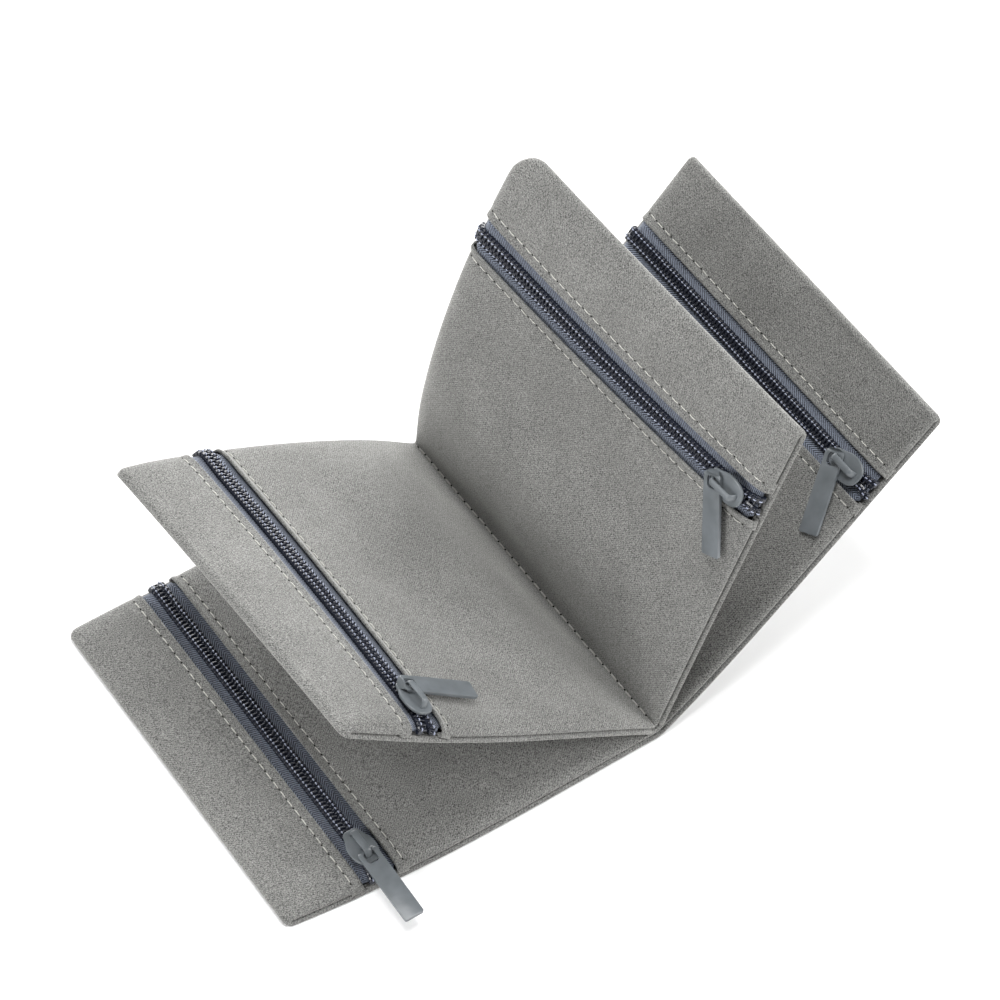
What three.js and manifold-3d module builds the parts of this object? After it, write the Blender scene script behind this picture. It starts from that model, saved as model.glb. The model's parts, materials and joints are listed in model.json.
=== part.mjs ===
// A folding jewelry storage bag: four zip pockets, called leaves here, sewn together along one spine.
// Two long double sleeves lie on each other, an outer and an inner one, and one line of stitches
// through both makes two leaves of each. The near side is at -Y and the spine runs along Y.
// The outer left leaf lies flat on the table and the other three stand open like pages.
import * as THREE from 'three';
import { mergeVertices } from 'three/addons/utils/BufferGeometryUtils.js';
import Module from 'manifold-3d';

const wasm = await Module();
wasm.setup();

// Driving dimensions, in millimetres and degrees.
// Leaves
const LEAF_LENGTH = 120; // along the spine, from the near side seam to the far one
const OUTER_WIDTH = 115; // from the spine to the outer fold, on the two outer leaves
const INNER_WIDTH = 113; // the same on the two inner leaves
const BAND_WIDTH = 22.5; // from the outer fold to the hem beside the zip
const ZIP_WINDOW = 10; // from the band's hem to the front panel's hem
const FABRIC = 1.0; // velvet with its backing
const FOLD_HOLLOW = 0.7; // inner radius of the outer fold
const SPINE_RISE = 22; // how far from the spine a pocket reaches its full thickness
const SEAM_RISE = 7; // the same from a side seam
const EDGE_RISE = 12; // the same from the outer fold
const CROWN = 4; // how far the middle of a front panel stands up over that thickness
const CROWN_INSET = 20; // from the front panel's hem to the start of its crown, clear of the pull tab
// Threads
const SEAM_THREAD = 0.3;
const SEAM_THREAD_WIDTH = 0.9;
const SEAM_INSET = 0.35; // from a leaf's side to its seam thread
const SEAM_END_INSET = 3; // from the outer fold to the end of a seam thread
const STITCH_INSET = 2.7; // from a hem to its row of top stitches
const STITCH_WIDTH = 0.5;
const STITCH_HEIGHT = 0.3;
const STITCH_END_INSET = 3;
const SPINE_THREAD_RADIUS = 0.25;
// Zip
const TAPE_THICK = 0.5;
const TAPE_TUCK = 5.2; // how far a tape reaches under the fabric
const COIL_SLOT = 1.4; // between the two coil halves
const COIL_WIDTH = 1.8; // of one half
const COIL_HEIGHT = 1.5;
const ZIP_END_INSET = 1.8; // from a leaf's side to the end of tape and coil
// Slider
const SLIDER_LENGTH = 12;
const SLIDER_NOSE_WIDTH = 8.2;
const SLIDER_TAIL_WIDTH = 5.6;
const SLIDER_NOSE_INSET = 4.2; // from the near side to the slider's nose
const PLATE_THICK = 0.9;
const NECK_WIDTH = 0.8;
const NECK_LENGTH = 3;
const BRIDGE_WIDTH = 2;
const BRIDGE_LEG = 1;
const BRIDGE_BEAM = 0.9;
const BRIDGE_INSET = 1.4; // from the slider's ends to the outside of the bridge's legs
const ARCH_HEIGHT = 1.9; // clear height under the bridge
// Pull tab
const TAB_LENGTH = 24.5;
const TAB_WIDTH = 5.9;
const TAB_TIP_WIDTH = 5.8;
const TAB_THICK = 1;
const TAB_HOLE_LENGTH = 3.6;
const TAB_END_BAR = 1.4; // between the hole and the near end of the tab
// Clearances
const LAYER_GAP = 0.15; // between layers that are sewn together
const SPINE_GAP = 0.3; // round the spine, where the leaves turn
const SLIDER_CLEAR = 0.65; // between the slider's plates and the chain
const POCKET_CLEAR = 0.4; // between the slider and the back panel
const HOLE_CLEAR = 0.7; // between the bridge and the sides of the tab's hole
const TIP_CLEAR = 1.1; // under the tip of a pull tab

// Each leaf turns up from the table by its own angles: measured from +X at the spine, at the near and
// the far side, with the bend that the leaf makes on its way out. Lean is how the side seam slants
// along the spine. Pull is where the tab points: turned towards the near side from the spine.
const LEAVES = [
  {
    name: 'outer_left', left: true, outer: true, width: OUTER_WIDTH,
    near: { start: 180, bend: 0, lean: 0.747 }, far: { start: 180, bend: 0, lean: -1.245 },
    pull: { onNose: true, turn: 90 },
  },
  {
    name: 'inner_left', left: true, outer: false, width: INNER_WIDTH,
    near: { start: 146, bend: -0.5, lean: 3.8 }, far: { start: 140, bend: 15.5, lean: -2.9 },
    pull: { onNose: false, turn: 10 },
  },
  {
    name: 'inner_right', left: false, outer: false, width: INNER_WIDTH,
    near: { start: 72, bend: -2.2, lean: -3 }, far: { start: 87, bend: -26, lean: -4 },
    pull: { onNose: false, turn: 22 },
  },
  {
    name: 'outer_right', left: false, outer: true, width: OUTER_WIDTH,
    near: { start: 28, bend: 14, lean: 2.49 }, far: { start: 25, bend: 19, lean: -0.498 },
    pull: { onNose: false, turn: 25 },
  },
];

// What follows from the driving dimensions.
const SEWN_THICK = 2 * FABRIC + SEAM_THREAD + 2 * LAYER_GAP; // of a leaf at its seams and at the spine
const LEAF_THICK = 2 * FABRIC + LAYER_GAP + TAPE_THICK + SLIDER_CLEAR + PLATE_THICK + POCKET_CLEAR;
const EDGE_THICK = 2 * (FABRIC + FOLD_HOLLOW);
const INNER_BACK = SPINE_GAP + SEWN_THICK; // from the spine axis to the back of an inner leaf
const OUTER_BACK = INNER_BACK + SPINE_GAP + SEWN_THICK; // and of an outer leaf
const SPINE_HEIGHT = OUTER_BACK; // of the spine axis above the table
const COIL_TOP = COIL_HEIGHT - FABRIC; // over the fabric's front
const TAPE_TOP = -FABRIC - LAYER_GAP;
const TAPE_BOTTOM = TAPE_TOP - TAPE_THICK;
const PLATE_LOW = COIL_TOP + SLIDER_CLEAR; // underside of the slider's top plate
const PLATE_TOP = PLATE_LOW + PLATE_THICK;
const BRIDGE_TOP = PLATE_TOP + ARCH_HEIGHT + BRIDGE_BEAM;
const LEG_PLACE = SLIDER_LENGTH / 2 - BRIDGE_INSET - BRIDGE_LEG / 2; // of a leg's middle along the slider

// Finishes
const VELVET = new THREE.MeshStandardMaterial({ color: 0x95958f, roughness: 0.95, metalness: 0 });
const TAPE = new THREE.MeshStandardMaterial({ color: 0x636a7e, roughness: 0.85, metalness: 0 });
const NYLON = new THREE.MeshStandardMaterial({ color: 0x2c3142, roughness: 0.5, metalness: 0 });
const THREAD = new THREE.MeshStandardMaterial({ color: 0xbdbbb2, roughness: 0.8, metalness: 0 });
const PAINTED_METAL = new THREE.MeshStandardMaterial({ color: 0x85898c, roughness: 0.5, metalness: 0.1 });

const mix = (a, b, t) => a + (b - a) * t;
const radians = THREE.MathUtils.degToRad;

// Leaf surface

// A point of one side of a leaf, at u along its bent back and h in front of it.
function sidePoint(leaf, side, u, h) {
  const start = radians(side.start);
  const curve = radians(side.bend) / leaf.width;
  const angle = start + curve * u;
  const facing = leaf.left ? 1 : -1;
  const back = leaf.outer ? OUTER_BACK : INNER_BACK;
  const flat = Math.abs(curve) < 1e-9;
  const alongX = flat ? u * Math.cos(start) : (Math.sin(angle) - Math.sin(start)) / curve;
  const alongZ = flat ? u * Math.sin(start) : (Math.cos(start) - Math.cos(angle)) / curve;
  return new THREE.Vector2(
    alongX + facing * (h * Math.sin(angle) - back * Math.sin(start)),
    SPINE_HEIGHT + alongZ - facing * (h * Math.cos(angle) - back * Math.cos(start)),
  );
}

// A point of the leaf: u out from the spine, s in from the near side, h in front of the leaf's back.
function leafPoint(leaf, u, s, h) {
  const t = s / LEAF_LENGTH;
  const near = sidePoint(leaf, leaf.near, u, h);
  const far = sidePoint(leaf, leaf.far, u, h);
  const lean = mix(Math.tan(radians(leaf.near.lean)), Math.tan(radians(leaf.far.lean)), t);
  return new THREE.Vector3(mix(near.x, far.x, t), s - LEAF_LENGTH / 2 + lean * u, mix(near.y, far.y, t));
}

// How full the pocket is at s, from 0 at a side seam to 1.
function fullness(s) {
  const fromSeam = Math.min(s, LEAF_LENGTH - s);
  const short = 1 - Math.min(1, fromSeam / SEAM_RISE);
  return Math.sqrt(1 - short * short);
}

// How far the crown of the front panel stands up at u and s.
function crown(leaf, u, s) {
  const across = THREE.MathUtils.clamp(u / (panelHem(leaf) - CROWN_INSET), 0, 1);
  const along = Math.sin(Math.PI * s / LEAF_LENGTH);
  return CROWN * Math.sin(Math.PI * across) ** 2 * along;
}

// Thickness of the leaf at u and s, from its back to its front.
function thickness(leaf, u, s) {
  const spineShare = Math.min(1, u / SPINE_RISE);
  const fromSpine = mix(SEWN_THICK, LEAF_THICK, Math.sin(spineShare * Math.PI / 2));
  const foldStart = leaf.width - EDGE_RISE;
  const foldShare = THREE.MathUtils.clamp((u - foldStart) / (EDGE_RISE - EDGE_THICK / 2), 0, 1);
  const full = mix(fromSpine, EDGE_THICK, 1 - Math.cos(foldShare * Math.PI / 2));
  return mix(SEWN_THICK, full, fullness(s)) + crown(leaf, u, s);
}

// Places along the leaf
const bandHem = (leaf) => leaf.width - BAND_WIDTH;
const panelHem = (leaf) => leaf.width - BAND_WIDTH - ZIP_WINDOW;
const zipLine = (leaf) => leaf.width - BAND_WIDTH - ZIP_WINDOW / 2;

// Lofts

const steps = (from, to, count) => Array.from({ length: count + 1 }, (_, i) => mix(from, to, i / count));

// Rows along the leaf: close together where it swells from a side seam, wide apart between.
const SWELL_SHARES = [0, 0.12, 0.35, 0.65, 1];
const MIDDLE_STEPS = 6;
function rows(first, last) {
  const swell = SWELL_SHARES.map((share) => share * SEAM_RISE);
  const middle = steps(SEAM_RISE, LEAF_LENGTH - SEAM_RISE, MIDDLE_STEPS).slice(1, -1);
  const all = [...swell, ...middle, ...swell.map((s) => LEAF_LENGTH - s).reverse()];
  const nearest = SWELL_SHARES[1] * SEAM_RISE / 4; // no row comes closer to the first or the last one
  return [first, ...all.filter((s) => s > first + nearest && s < last - nearest), last];
}

// A closed skin through outlines of equal length, with flat ends. place(i, point) gives each corner.
// Each outline goes out along one rail and back along the other, so its ends are closed pair by pair.
function loft(outlines, place) {
  const count = outlines[0].length;
  const positions = [];
  const index = [];
  outlines.forEach((outline, i) => outline.forEach((point) => positions.push(...place(i, point))));
  for (let i = 0; i + 1 < outlines.length; i += 1) {
    for (let j = 0; j < count; j += 1) {
      const a = i * count + j;
      const b = i * count + (j + 1) % count;
      index.push(a, b, a + count, b, b + count, a + count);
    }
  }
  const end = (outlines.length - 1) * count;
  for (let a = 0; a + 1 < count / 2; a += 1) {
    const b = a + 1;
    const c = count - 1 - b;
    const d = count - 1 - a;
    index.push(a, d, c, a, c, b);
    index.push(end + a, end + b, end + c, end + a, end + c, end + d);
  }
  const geometry = new THREE.BufferGeometry();
  geometry.setAttribute('position', new THREE.Float32BufferAttribute(positions, 3));
  geometry.setIndex(index);
  return facingOut(geometry);
}

// The same skin with its faces pointing out.
function facingOut(geometry) {
  const at = geometry.getAttribute('position');
  const index = geometry.getIndex().array;
  const corner = [new THREE.Vector3(), new THREE.Vector3(), new THREE.Vector3()];
  let volume = 0;
  for (let i = 0; i < index.length; i += 3) {
    corner.forEach((point, j) => point.fromBufferAttribute(at, index[i + j]));
    volume += corner[0].dot(corner[1].clone().cross(corner[2]));
  }
  if (volume < 0) {
    geometry.setIndex(Array.from(index).reverse());
  }
  geometry.computeVertexNormals();
  return geometry;
}

// A strip of the leaf between two places u, over the rows of s, from low to high above the back.
function strip(leaf, us, lengthRows, low, high) {
  const outlines = lengthRows.map((s) => [
    ...us.map((u) => new THREE.Vector2(u, low(u, s))),
    ...us.map((u) => new THREE.Vector2(u, high(u, s))).reverse(),
  ]);
  return loft(outlines, (i, point) => leafPoint(leaf, point.x, lengthRows[i], point.y));
}

// Fabric pieces

// Back panel: it lies behind the pocket, folds round the outer edge and ends in front as the edge band.
function backPanel(leaf) {
  const lengthRows = rows(0, LEAF_LENGTH);
  const outlines = lengthRows.map((s) => {
    const radius = thickness(leaf, leaf.width, s) / 2;
    const bend = leaf.width - radius;
    const turns = steps(-90, 90, 5).map(radians);
    const onArc = (r, a) => new THREE.Vector2(bend + r * Math.cos(a), radius + r * Math.sin(a));
    const arc = (r) => turns.map((a) => onArc(r, a));
    const backUs = steps(SPINE_GAP, bend, 7).slice(0, -1);
    const bandUs = [leaf.width - EDGE_RISE / 2, leaf.width - EDGE_RISE, bandHem(leaf)];
    const outside = [
      ...backUs.map((u) => new THREE.Vector2(u, 0)),
      ...arc(radius),
      ...bandUs.map((u) => new THREE.Vector2(u, thickness(leaf, u, s))),
    ];
    const inside = [
      ...backUs.map((u) => new THREE.Vector2(u, FABRIC)),
      ...arc(radius - FABRIC),
      ...bandUs.map((u) => new THREE.Vector2(u, thickness(leaf, u, s) - FABRIC)),
    ];
    return [...outside, ...inside.reverse()];
  });
  return loft(outlines, (i, point) => leafPoint(leaf, point.x, lengthRows[i], point.y));
}

// Front panel: from the spine to the hem beside the zip.
function frontPanel(leaf) {
  const crownEnd = panelHem(leaf) - CROWN_INSET;
  const us = [...steps(SPINE_GAP, crownEnd, 9), panelHem(leaf) - TAPE_TUCK, panelHem(leaf)];
  const high = (u, s) => thickness(leaf, u, s);
  return strip(leaf, us, rows(0, LEAF_LENGTH), (u, s) => high(u, s) - FABRIC, high);
}

// Threads

// A row of top stitches along a hem, in front of the fabric.
function topStitch(leaf, u) {
  const us = [u - STITCH_WIDTH / 2, u + STITCH_WIDTH / 2];
  const low = (v, s) => thickness(leaf, u, s) + LAYER_GAP;
  const lengthRows = rows(STITCH_END_INSET, LEAF_LENGTH - STITCH_END_INSET);
  return strip(leaf, us, lengthRows, low, (v, s) => low(v, s) + STITCH_HEIGHT);
}

// The thread that joins the front to the back along one side, between the two.
function sideSeam(leaf, s) {
  const us = steps(SPINE_GAP + STITCH_WIDTH, leaf.width - SEAM_END_INSET, 8);
  const low = FABRIC + LAYER_GAP;
  const half = SEAM_THREAD_WIDTH / 2;
  const outline = [[-half, 0], [half, 0], [half, SEAM_THREAD], [-half, SEAM_THREAD]];
  const outlines = us.map(() => outline.map(([across, up]) => new THREE.Vector2(across, up)));
  return loft(outlines, (i, point) => leafPoint(leaf, us[i], s + point.x, low + point.y));
}

// A row of spine stitches, straight along the spine.
function spineThread() {
  const length = LEAF_LENGTH - 2 * STITCH_END_INSET;
  return new THREE.CylinderGeometry(SPINE_THREAD_RADIUS, SPINE_THREAD_RADIUS, length, 8);
}

// Zip

// One tape of the zip, from beside the slot to under the fabric. Way is 1 for the outer tape.
function zipTape(leaf, way) {
  const places = [COIL_SLOT / 2, ZIP_WINDOW / 2, ZIP_WINDOW / 2 + TAPE_TUCK];
  const us = places.map((place) => zipLine(leaf) + way * place);
  const level = (s) => thickness(leaf, zipLine(leaf), s);
  const lengthRows = rows(ZIP_END_INSET, LEAF_LENGTH - ZIP_END_INSET);
  return strip(leaf, us, lengthRows, (u, s) => level(s) + TAPE_BOTTOM, (u, s) => level(s) + TAPE_TOP);
}

// One half of the coil, on its tape, with rounded shoulders.
function zipCoil(leaf, way) {
  const slotSide = COIL_SLOT / 2;
  const shoulder = COIL_WIDTH / 4;
  const tapeSide = slotSide + COIL_WIDTH;
  const foot = TAPE_TOP + LAYER_GAP;
  const section = [
    [slotSide, foot], [tapeSide, foot], [tapeSide, COIL_TOP - shoulder],
    [tapeSide - shoulder, COIL_TOP], [slotSide + shoulder, COIL_TOP], [slotSide, COIL_TOP - shoulder],
  ];
  const lengthRows = rows(ZIP_END_INSET, LEAF_LENGTH - ZIP_END_INSET);
  const outlines = lengthRows.map((s) => section.map(([across, up]) => (
    new THREE.Vector2(zipLine(leaf) + way * across, thickness(leaf, zipLine(leaf), s) + up)
  )));
  return loft(outlines, (i, point) => leafPoint(leaf, point.x, lengthRows[i], point.y));
}

// Solids for the cuts and joins

function toSolid(geometry) {
  const bare = geometry.clone();
  bare.deleteAttribute('normal');
  bare.deleteAttribute('uv');
  const merged = mergeVertices(bare.index ? bare.toNonIndexed() : bare, 1e-4);
  return new wasm.Manifold(new wasm.Mesh({
    numProp: 3,
    vertProperties: new Float32Array(merged.getAttribute('position').array),
    triVerts: new Uint32Array(merged.getIndex().array),
  }));
}

function toGeometry(solid) {
  const mesh = solid.getMesh();
  const geometry = new THREE.BufferGeometry();
  geometry.setAttribute('position', new THREE.Float32BufferAttribute(mesh.vertProperties, 3));
  geometry.setIndex(Array.from(mesh.triVerts));
  geometry.computeVertexNormals();
  return geometry;
}

// Slider: nose towards -Y, tail towards +Y, with z = 0 on the front of the fabric.

function plateShape() {
  const nose = SLIDER_NOSE_WIDTH / 2;
  const tail = SLIDER_TAIL_WIDTH / 2;
  const end = SLIDER_LENGTH / 2;
  const shape = new THREE.Shape();
  shape.moveTo(tail, end);
  shape.bezierCurveTo(tail, end - nose, nose, end - nose, nose, 0);
  shape.lineTo(nose, nose - end);
  shape.quadraticCurveTo(nose, -end, 0, -end);
  shape.quadraticCurveTo(-nose, -end, -nose, nose - end);
  shape.lineTo(-nose, 0);
  shape.bezierCurveTo(-nose, end - nose, -tail, end - nose, -tail, end);
  shape.closePath();
  return shape;
}

function plate(low) {
  const geometry = new THREE.ExtrudeGeometry(plateShape(), {
    depth: PLATE_THICK, bevelEnabled: false, curveSegments: 6,
  });
  return geometry.translate(0, 0, low);
}

// The arch that the pull tab hangs on, drawn from the side and as wide as the bridge.
function bridge() {
  const outer = SLIDER_LENGTH / 2 - BRIDGE_INSET;
  const inner = outer - BRIDGE_LEG;
  const foot = PLATE_LOW + PLATE_THICK / 2;
  const round = ARCH_HEIGHT / 2;
  const archTop = BRIDGE_TOP - BRIDGE_BEAM;
  const shape = new THREE.Shape();
  shape.moveTo(-outer, foot);
  shape.lineTo(-outer, BRIDGE_TOP - round);
  shape.quadraticCurveTo(-outer, BRIDGE_TOP, round - outer, BRIDGE_TOP);
  shape.lineTo(outer - round, BRIDGE_TOP);
  shape.quadraticCurveTo(outer, BRIDGE_TOP, outer, BRIDGE_TOP - round);
  shape.lineTo(outer, foot);
  shape.lineTo(inner, foot);
  shape.lineTo(inner, archTop);
  shape.lineTo(-inner, archTop);
  shape.lineTo(-inner, foot);
  shape.closePath();
  const geometry = new THREE.ExtrudeGeometry(shape, {
    depth: BRIDGE_WIDTH, bevelEnabled: false, curveSegments: 4,
  });
  geometry.translate(0, 0, -BRIDGE_WIDTH / 2);
  geometry.rotateX(Math.PI / 2);
  return geometry.rotateZ(Math.PI / 2);
}

function slider() {
  const plateBottom = TAPE_BOTTOM - SLIDER_CLEAR - PLATE_THICK;
  const neckHeight = PLATE_TOP - plateBottom - PLATE_THICK;
  const neck = new THREE.BoxGeometry(NECK_WIDTH, NECK_LENGTH, neckHeight);
  neck.translate(0, (NECK_LENGTH - SLIDER_LENGTH) / 2 + BRIDGE_INSET, (PLATE_TOP + plateBottom) / 2);
  const body = toSolid(plate(PLATE_LOW))
    .add(toSolid(plate(plateBottom)))
    .add(toSolid(neck))
    .add(toSolid(bridge()));
  return toGeometry(body);
}

// Pull tab: its hole is round the origin, where a leg of the bridge stands, and its tip points to +X.
function pullTab() {
  const head = -TAB_HOLE_LENGTH / 2 - TAB_END_BAR;
  const tip = head + TAB_LENGTH;
  const half = TAB_WIDTH / 2;
  const tipHalf = TAB_TIP_WIDTH / 2;
  const corner = TAB_END_BAR;
  const shape = new THREE.Shape();
  shape.moveTo(head + half, -half);
  shape.lineTo(tip - corner, -tipHalf);
  shape.quadraticCurveTo(tip, -tipHalf, tip, corner - tipHalf);
  shape.lineTo(tip, tipHalf - corner);
  shape.quadraticCurveTo(tip, tipHalf, tip - corner, tipHalf);
  shape.lineTo(head + half, half);
  shape.bezierCurveTo(head + half / 3, half, head, half / 1.5, head, 0);
  shape.bezierCurveTo(head, -half / 1.5, head + half / 3, -half, head + half, -half);
  const holeHalf = BRIDGE_WIDTH / 2 + HOLE_CLEAR;
  const holeEnd = TAB_HOLE_LENGTH / 2;
  const hole = new THREE.Path();
  hole.moveTo(holeEnd, holeHalf);
  hole.lineTo(holeEnd, -holeHalf);
  hole.lineTo(-holeEnd / 2, -holeHalf);
  hole.lineTo(-holeEnd, -holeHalf / 2);
  hole.lineTo(-holeEnd, holeHalf / 2);
  hole.lineTo(-holeEnd / 2, holeHalf);
  hole.closePath();
  shape.holes.push(hole);
  const geometry = new THREE.ExtrudeGeometry(shape, {
    depth: TAB_THICK, bevelEnabled: false, curveSegments: 4,
  });
  return geometry.translate(0, 0, -TAB_THICK / 2);
}

// Assembly

function named(name, geometry, material) {
  const mesh = new THREE.Mesh(geometry, material);
  mesh.name = name;
  return mesh;
}

// A group at the zip's near end: Y along the chain to the far side, Z out of the fabric's front.
function zipSeat(leaf) {
  const seat = new THREE.Group();
  const front = LEAF_THICK;
  const middle = LEAF_LENGTH / 2;
  const line = zipLine(leaf);
  const chain = leafPoint(leaf, line, LEAF_LENGTH, front).sub(leafPoint(leaf, line, 0, front)).normalize();
  const out = leafPoint(leaf, line, middle, front).sub(leafPoint(leaf, line, middle, 0));
  const side = chain.clone().cross(out).normalize();
  const normal = side.clone().cross(chain);
  seat.position.copy(leafPoint(leaf, line, SLIDER_NOSE_INSET + SLIDER_LENGTH / 2, front));
  seat.quaternion.setFromRotationMatrix(new THREE.Matrix4().makeBasis(side, chain, normal));
  return seat;
}

// The pull tab's group on its leg of the bridge: turned about the leg, with the tip lowered.
function pullSeat(leaf) {
  const swivel = new THREE.Group();
  const height = PLATE_TOP + ARCH_HEIGHT / 2;
  const reach = TAB_LENGTH - TAB_HOLE_LENGTH / 2 - TAB_END_BAR;
  const towardsSpine = leaf.left ? 0 : 180;
  const towardsNear = leaf.left ? -1 : 1;
  swivel.position.set(0, leaf.pull.onNose ? -LEG_PLACE : LEG_PLACE, height);
  swivel.rotation.z = radians(towardsSpine + towardsNear * leaf.pull.turn);
  const tilt = new THREE.Group();
  tilt.rotation.y = Math.asin((height - TAB_THICK / 2 - TIP_CLEAR) / reach);
  tilt.add(named(`${leaf.name}_pull_tab`, pullTab(), PAINTED_METAL));
  swivel.add(tilt);
  return swivel;
}

function makeLeaf(leaf) {
  const group = new THREE.Group();
  const seamPlace = SEAM_INSET + SEAM_THREAD_WIDTH / 2;
  const name = (piece) => `${leaf.name}_${piece}`;
  group.add(
    named(name('back_panel'), backPanel(leaf), VELVET),
    named(name('front_panel'), frontPanel(leaf), VELVET),
    named(name('zip_tape_outer'), zipTape(leaf, 1), TAPE),
    named(name('zip_tape_inner'), zipTape(leaf, -1), TAPE),
    named(name('zip_coil_outer'), zipCoil(leaf, 1), NYLON),
    named(name('zip_coil_inner'), zipCoil(leaf, -1), NYLON),
    named(name('top_stitch_outer'), topStitch(leaf, bandHem(leaf) + STITCH_INSET), THREAD),
    named(name('top_stitch_inner'), topStitch(leaf, panelHem(leaf) - STITCH_INSET), THREAD),
    named(name('seam_thread_near'), sideSeam(leaf, seamPlace), THREAD),
    named(name('seam_thread_far'), sideSeam(leaf, LEAF_LENGTH - seamPlace), THREAD),
  );
  const seat = zipSeat(leaf);
  seat.add(named(name('zip_slider'), slider(), PAINTED_METAL), pullSeat(leaf));
  group.add(seat);
  return group;
}

const bag = new THREE.Group();
bag.add(...LEAVES.map(makeLeaf));
const valleyThread = named('spine_stitch_valley', spineThread(), THREAD);
valleyThread.position.z = SPINE_HEIGHT;
const backThread = named('spine_stitch_back', spineThread(), THREAD);
backThread.position.z = SPINE_THREAD_RADIUS + LAYER_GAP;
bag.add(valleyThread, backThread);

// The origin is on the table, under the middle of the bag as it stands open.
const extent = new THREE.Box3().setFromObject(bag, true);
const middle = extent.getCenter(new THREE.Vector3());
bag.position.set(-middle.x, -middle.y, -extent.min.z);

const part = new THREE.Group();
part.add(bag);
export default part;
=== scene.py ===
"""A folding velvet jewelry bag: four zip pockets, called leaves, sewn along one spine and open like pages.

Every leaf is drawn on its own bent surface: u runs out from the spine, s in from the near side and h up from
the leaf's back, all in millimetres. The same surface carries the cloth, the zip, the threads, the slider and
its tab.
"""

import json
import math

import bpy
import numpy as np
from mathutils import Matrix, Vector


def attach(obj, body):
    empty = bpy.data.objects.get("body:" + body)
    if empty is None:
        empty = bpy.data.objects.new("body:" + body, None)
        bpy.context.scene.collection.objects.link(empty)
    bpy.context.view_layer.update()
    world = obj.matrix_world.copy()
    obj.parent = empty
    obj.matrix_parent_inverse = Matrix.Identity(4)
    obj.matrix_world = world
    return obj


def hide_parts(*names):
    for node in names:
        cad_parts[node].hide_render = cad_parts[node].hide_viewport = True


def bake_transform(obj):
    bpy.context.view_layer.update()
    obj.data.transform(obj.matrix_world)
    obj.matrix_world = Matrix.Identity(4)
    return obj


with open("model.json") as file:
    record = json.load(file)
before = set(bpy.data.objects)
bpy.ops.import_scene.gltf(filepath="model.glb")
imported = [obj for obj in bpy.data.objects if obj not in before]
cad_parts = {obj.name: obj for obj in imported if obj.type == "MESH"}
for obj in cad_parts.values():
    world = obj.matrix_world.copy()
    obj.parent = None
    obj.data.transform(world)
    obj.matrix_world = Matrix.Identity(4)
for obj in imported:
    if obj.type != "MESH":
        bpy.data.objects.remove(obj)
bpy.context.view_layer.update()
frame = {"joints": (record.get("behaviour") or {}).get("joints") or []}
rng = np.random.default_rng(7)

MM = 0.001
HALF_TURN = 180.0
QUARTER_TURN = 90.0

# Sizes of a leaf, in millimetres
LEAF_LENGTH = 120.0
OUTER_WIDTH = 115.0
INNER_WIDTH = 113.0
BAND_WIDTH = 22.5  # from the outer fold to the hem beside the zip
ZIP_WINDOW = 10.0  # from the band's hem to the front panel's hem
SEWN_THICK = 2.6  # of a leaf at its seams and at the spine
LEAF_THICK = 4.6  # of a leaf at its zip
EDGE_THICK = 3.4  # of the outer fold
SPINE_GAP = 0.3  # between leaves at the spine
INNER_BACK = SPINE_GAP + SEWN_THICK  # from the spine axis to the back of an inner leaf
OUTER_BACK = 2 * INNER_BACK  # and of an outer leaf
SPINE_RISE = 22.0  # how far from the spine a pocket reaches its full thickness
SEAM_RISE = 7.0  # the same from a side seam
EDGE_RISE = 12.0  # the same from the outer fold
CROWN = 4.0  # how far the middle of a front panel stands up
CROWN_INSET = 20.0  # how far before its hem the crown ends
SLACK_INSET = 14.0  # how far from a side seam the ripples of the cloth are full
ZIP_CALM = (7.0, 12.0)  # how far from the zip line they start, and over what width they grow
SPINE_CALM = 10.0  # over what width they grow from the spine
LONG_RIPPLE = 0.45
SHORT_RIPPLE = 0.16
ZIP_BOW_REACH = 25.0  # how far to each side the cloth follows a zip that is drawn in
HEM_ROLL = 0.5  # radius of a hem's fold
HEM_TUCK = 3.5  # how far a hem turns under
HEM_LEAD = 0.8  # from a hem to the last column of cloth before its fold
PANEL_LIFT = 0.85  # how far the front panel's hem stands up
PANEL_LIFT_REACH = 1.4
BAND_LIFT = 0.35  # and the edge band's
BAND_LIFT_REACH = 1.3
FLAP_SINK = (0.35, 0.8, 1.0)  # shares of that lift by which the cloth turned under a hem goes down
VALLEY_RISE = 0.25  # how far the front panel stands up where it meets the spine
VALLEY_REACH = 0.9
CLOTH = 0.35  # wall of the modelled cloth
GROOVE = 1.45  # height of the seam line on a leaf's side
LIP = 1.1  # how far the back's edge stands out under the seam line
LIP_REACH = 12.0  # how far in from a side the cloth is drawn along by that
STITCH_INSET = 2.7  # from a hem to its row of stitches
STITCH_PITCH = 3.7
PUCKER = 0.22  # depth of the dip under a row of stitches
PUCKER_REACH = 0.8
TAPE_DROP = 1.15  # of a zip tape under the cloth's front
TAPE_THICK = 0.5
TAPE_TUCK = 5.2  # how far a tape goes under the cloth
COIL_PITCH = 1.43

# Slider and pull tab
SLIDER_LENGTH = 12.0
SLIDER_NOSE_WIDTH = 8.2
SLIDER_TAIL_WIDTH = 5.6
SLIDER_NOSE_INSET = 4.2
PLATE_LOW = 1.15  # underside of the top plate over the cloth's front
PLATE_THICK = 0.9
PLATE_RAIL = 0.7  # width of the rail round a plate's hollow
PLATE_HOLLOW = 0.3
PLATE_ROUND = 0.28  # radius of its edges
PLATE_WAIST = (2.2, 0.75)  # where a plate narrows to its tail, and over what length
LOWER_PLATE = -3.2  # underside of the lower plate
BRIDGE_WIDTH = 2.0
BRIDGE_BEAM = 0.9
ARCH_HEIGHT = 1.9
LEG_PLACE = 4.1  # of the bridge's legs from the slider's middle
LEG_LEAN = 1.0  # of a leg, from its foot to the beam
NECK_PLACE = -3.1  # of the wedge between the plates, towards the nose
NECK_SIZE = (0.8, 3.0)
NECK_ROUND = 0.25
TAB_LENGTH = 24.5
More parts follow.
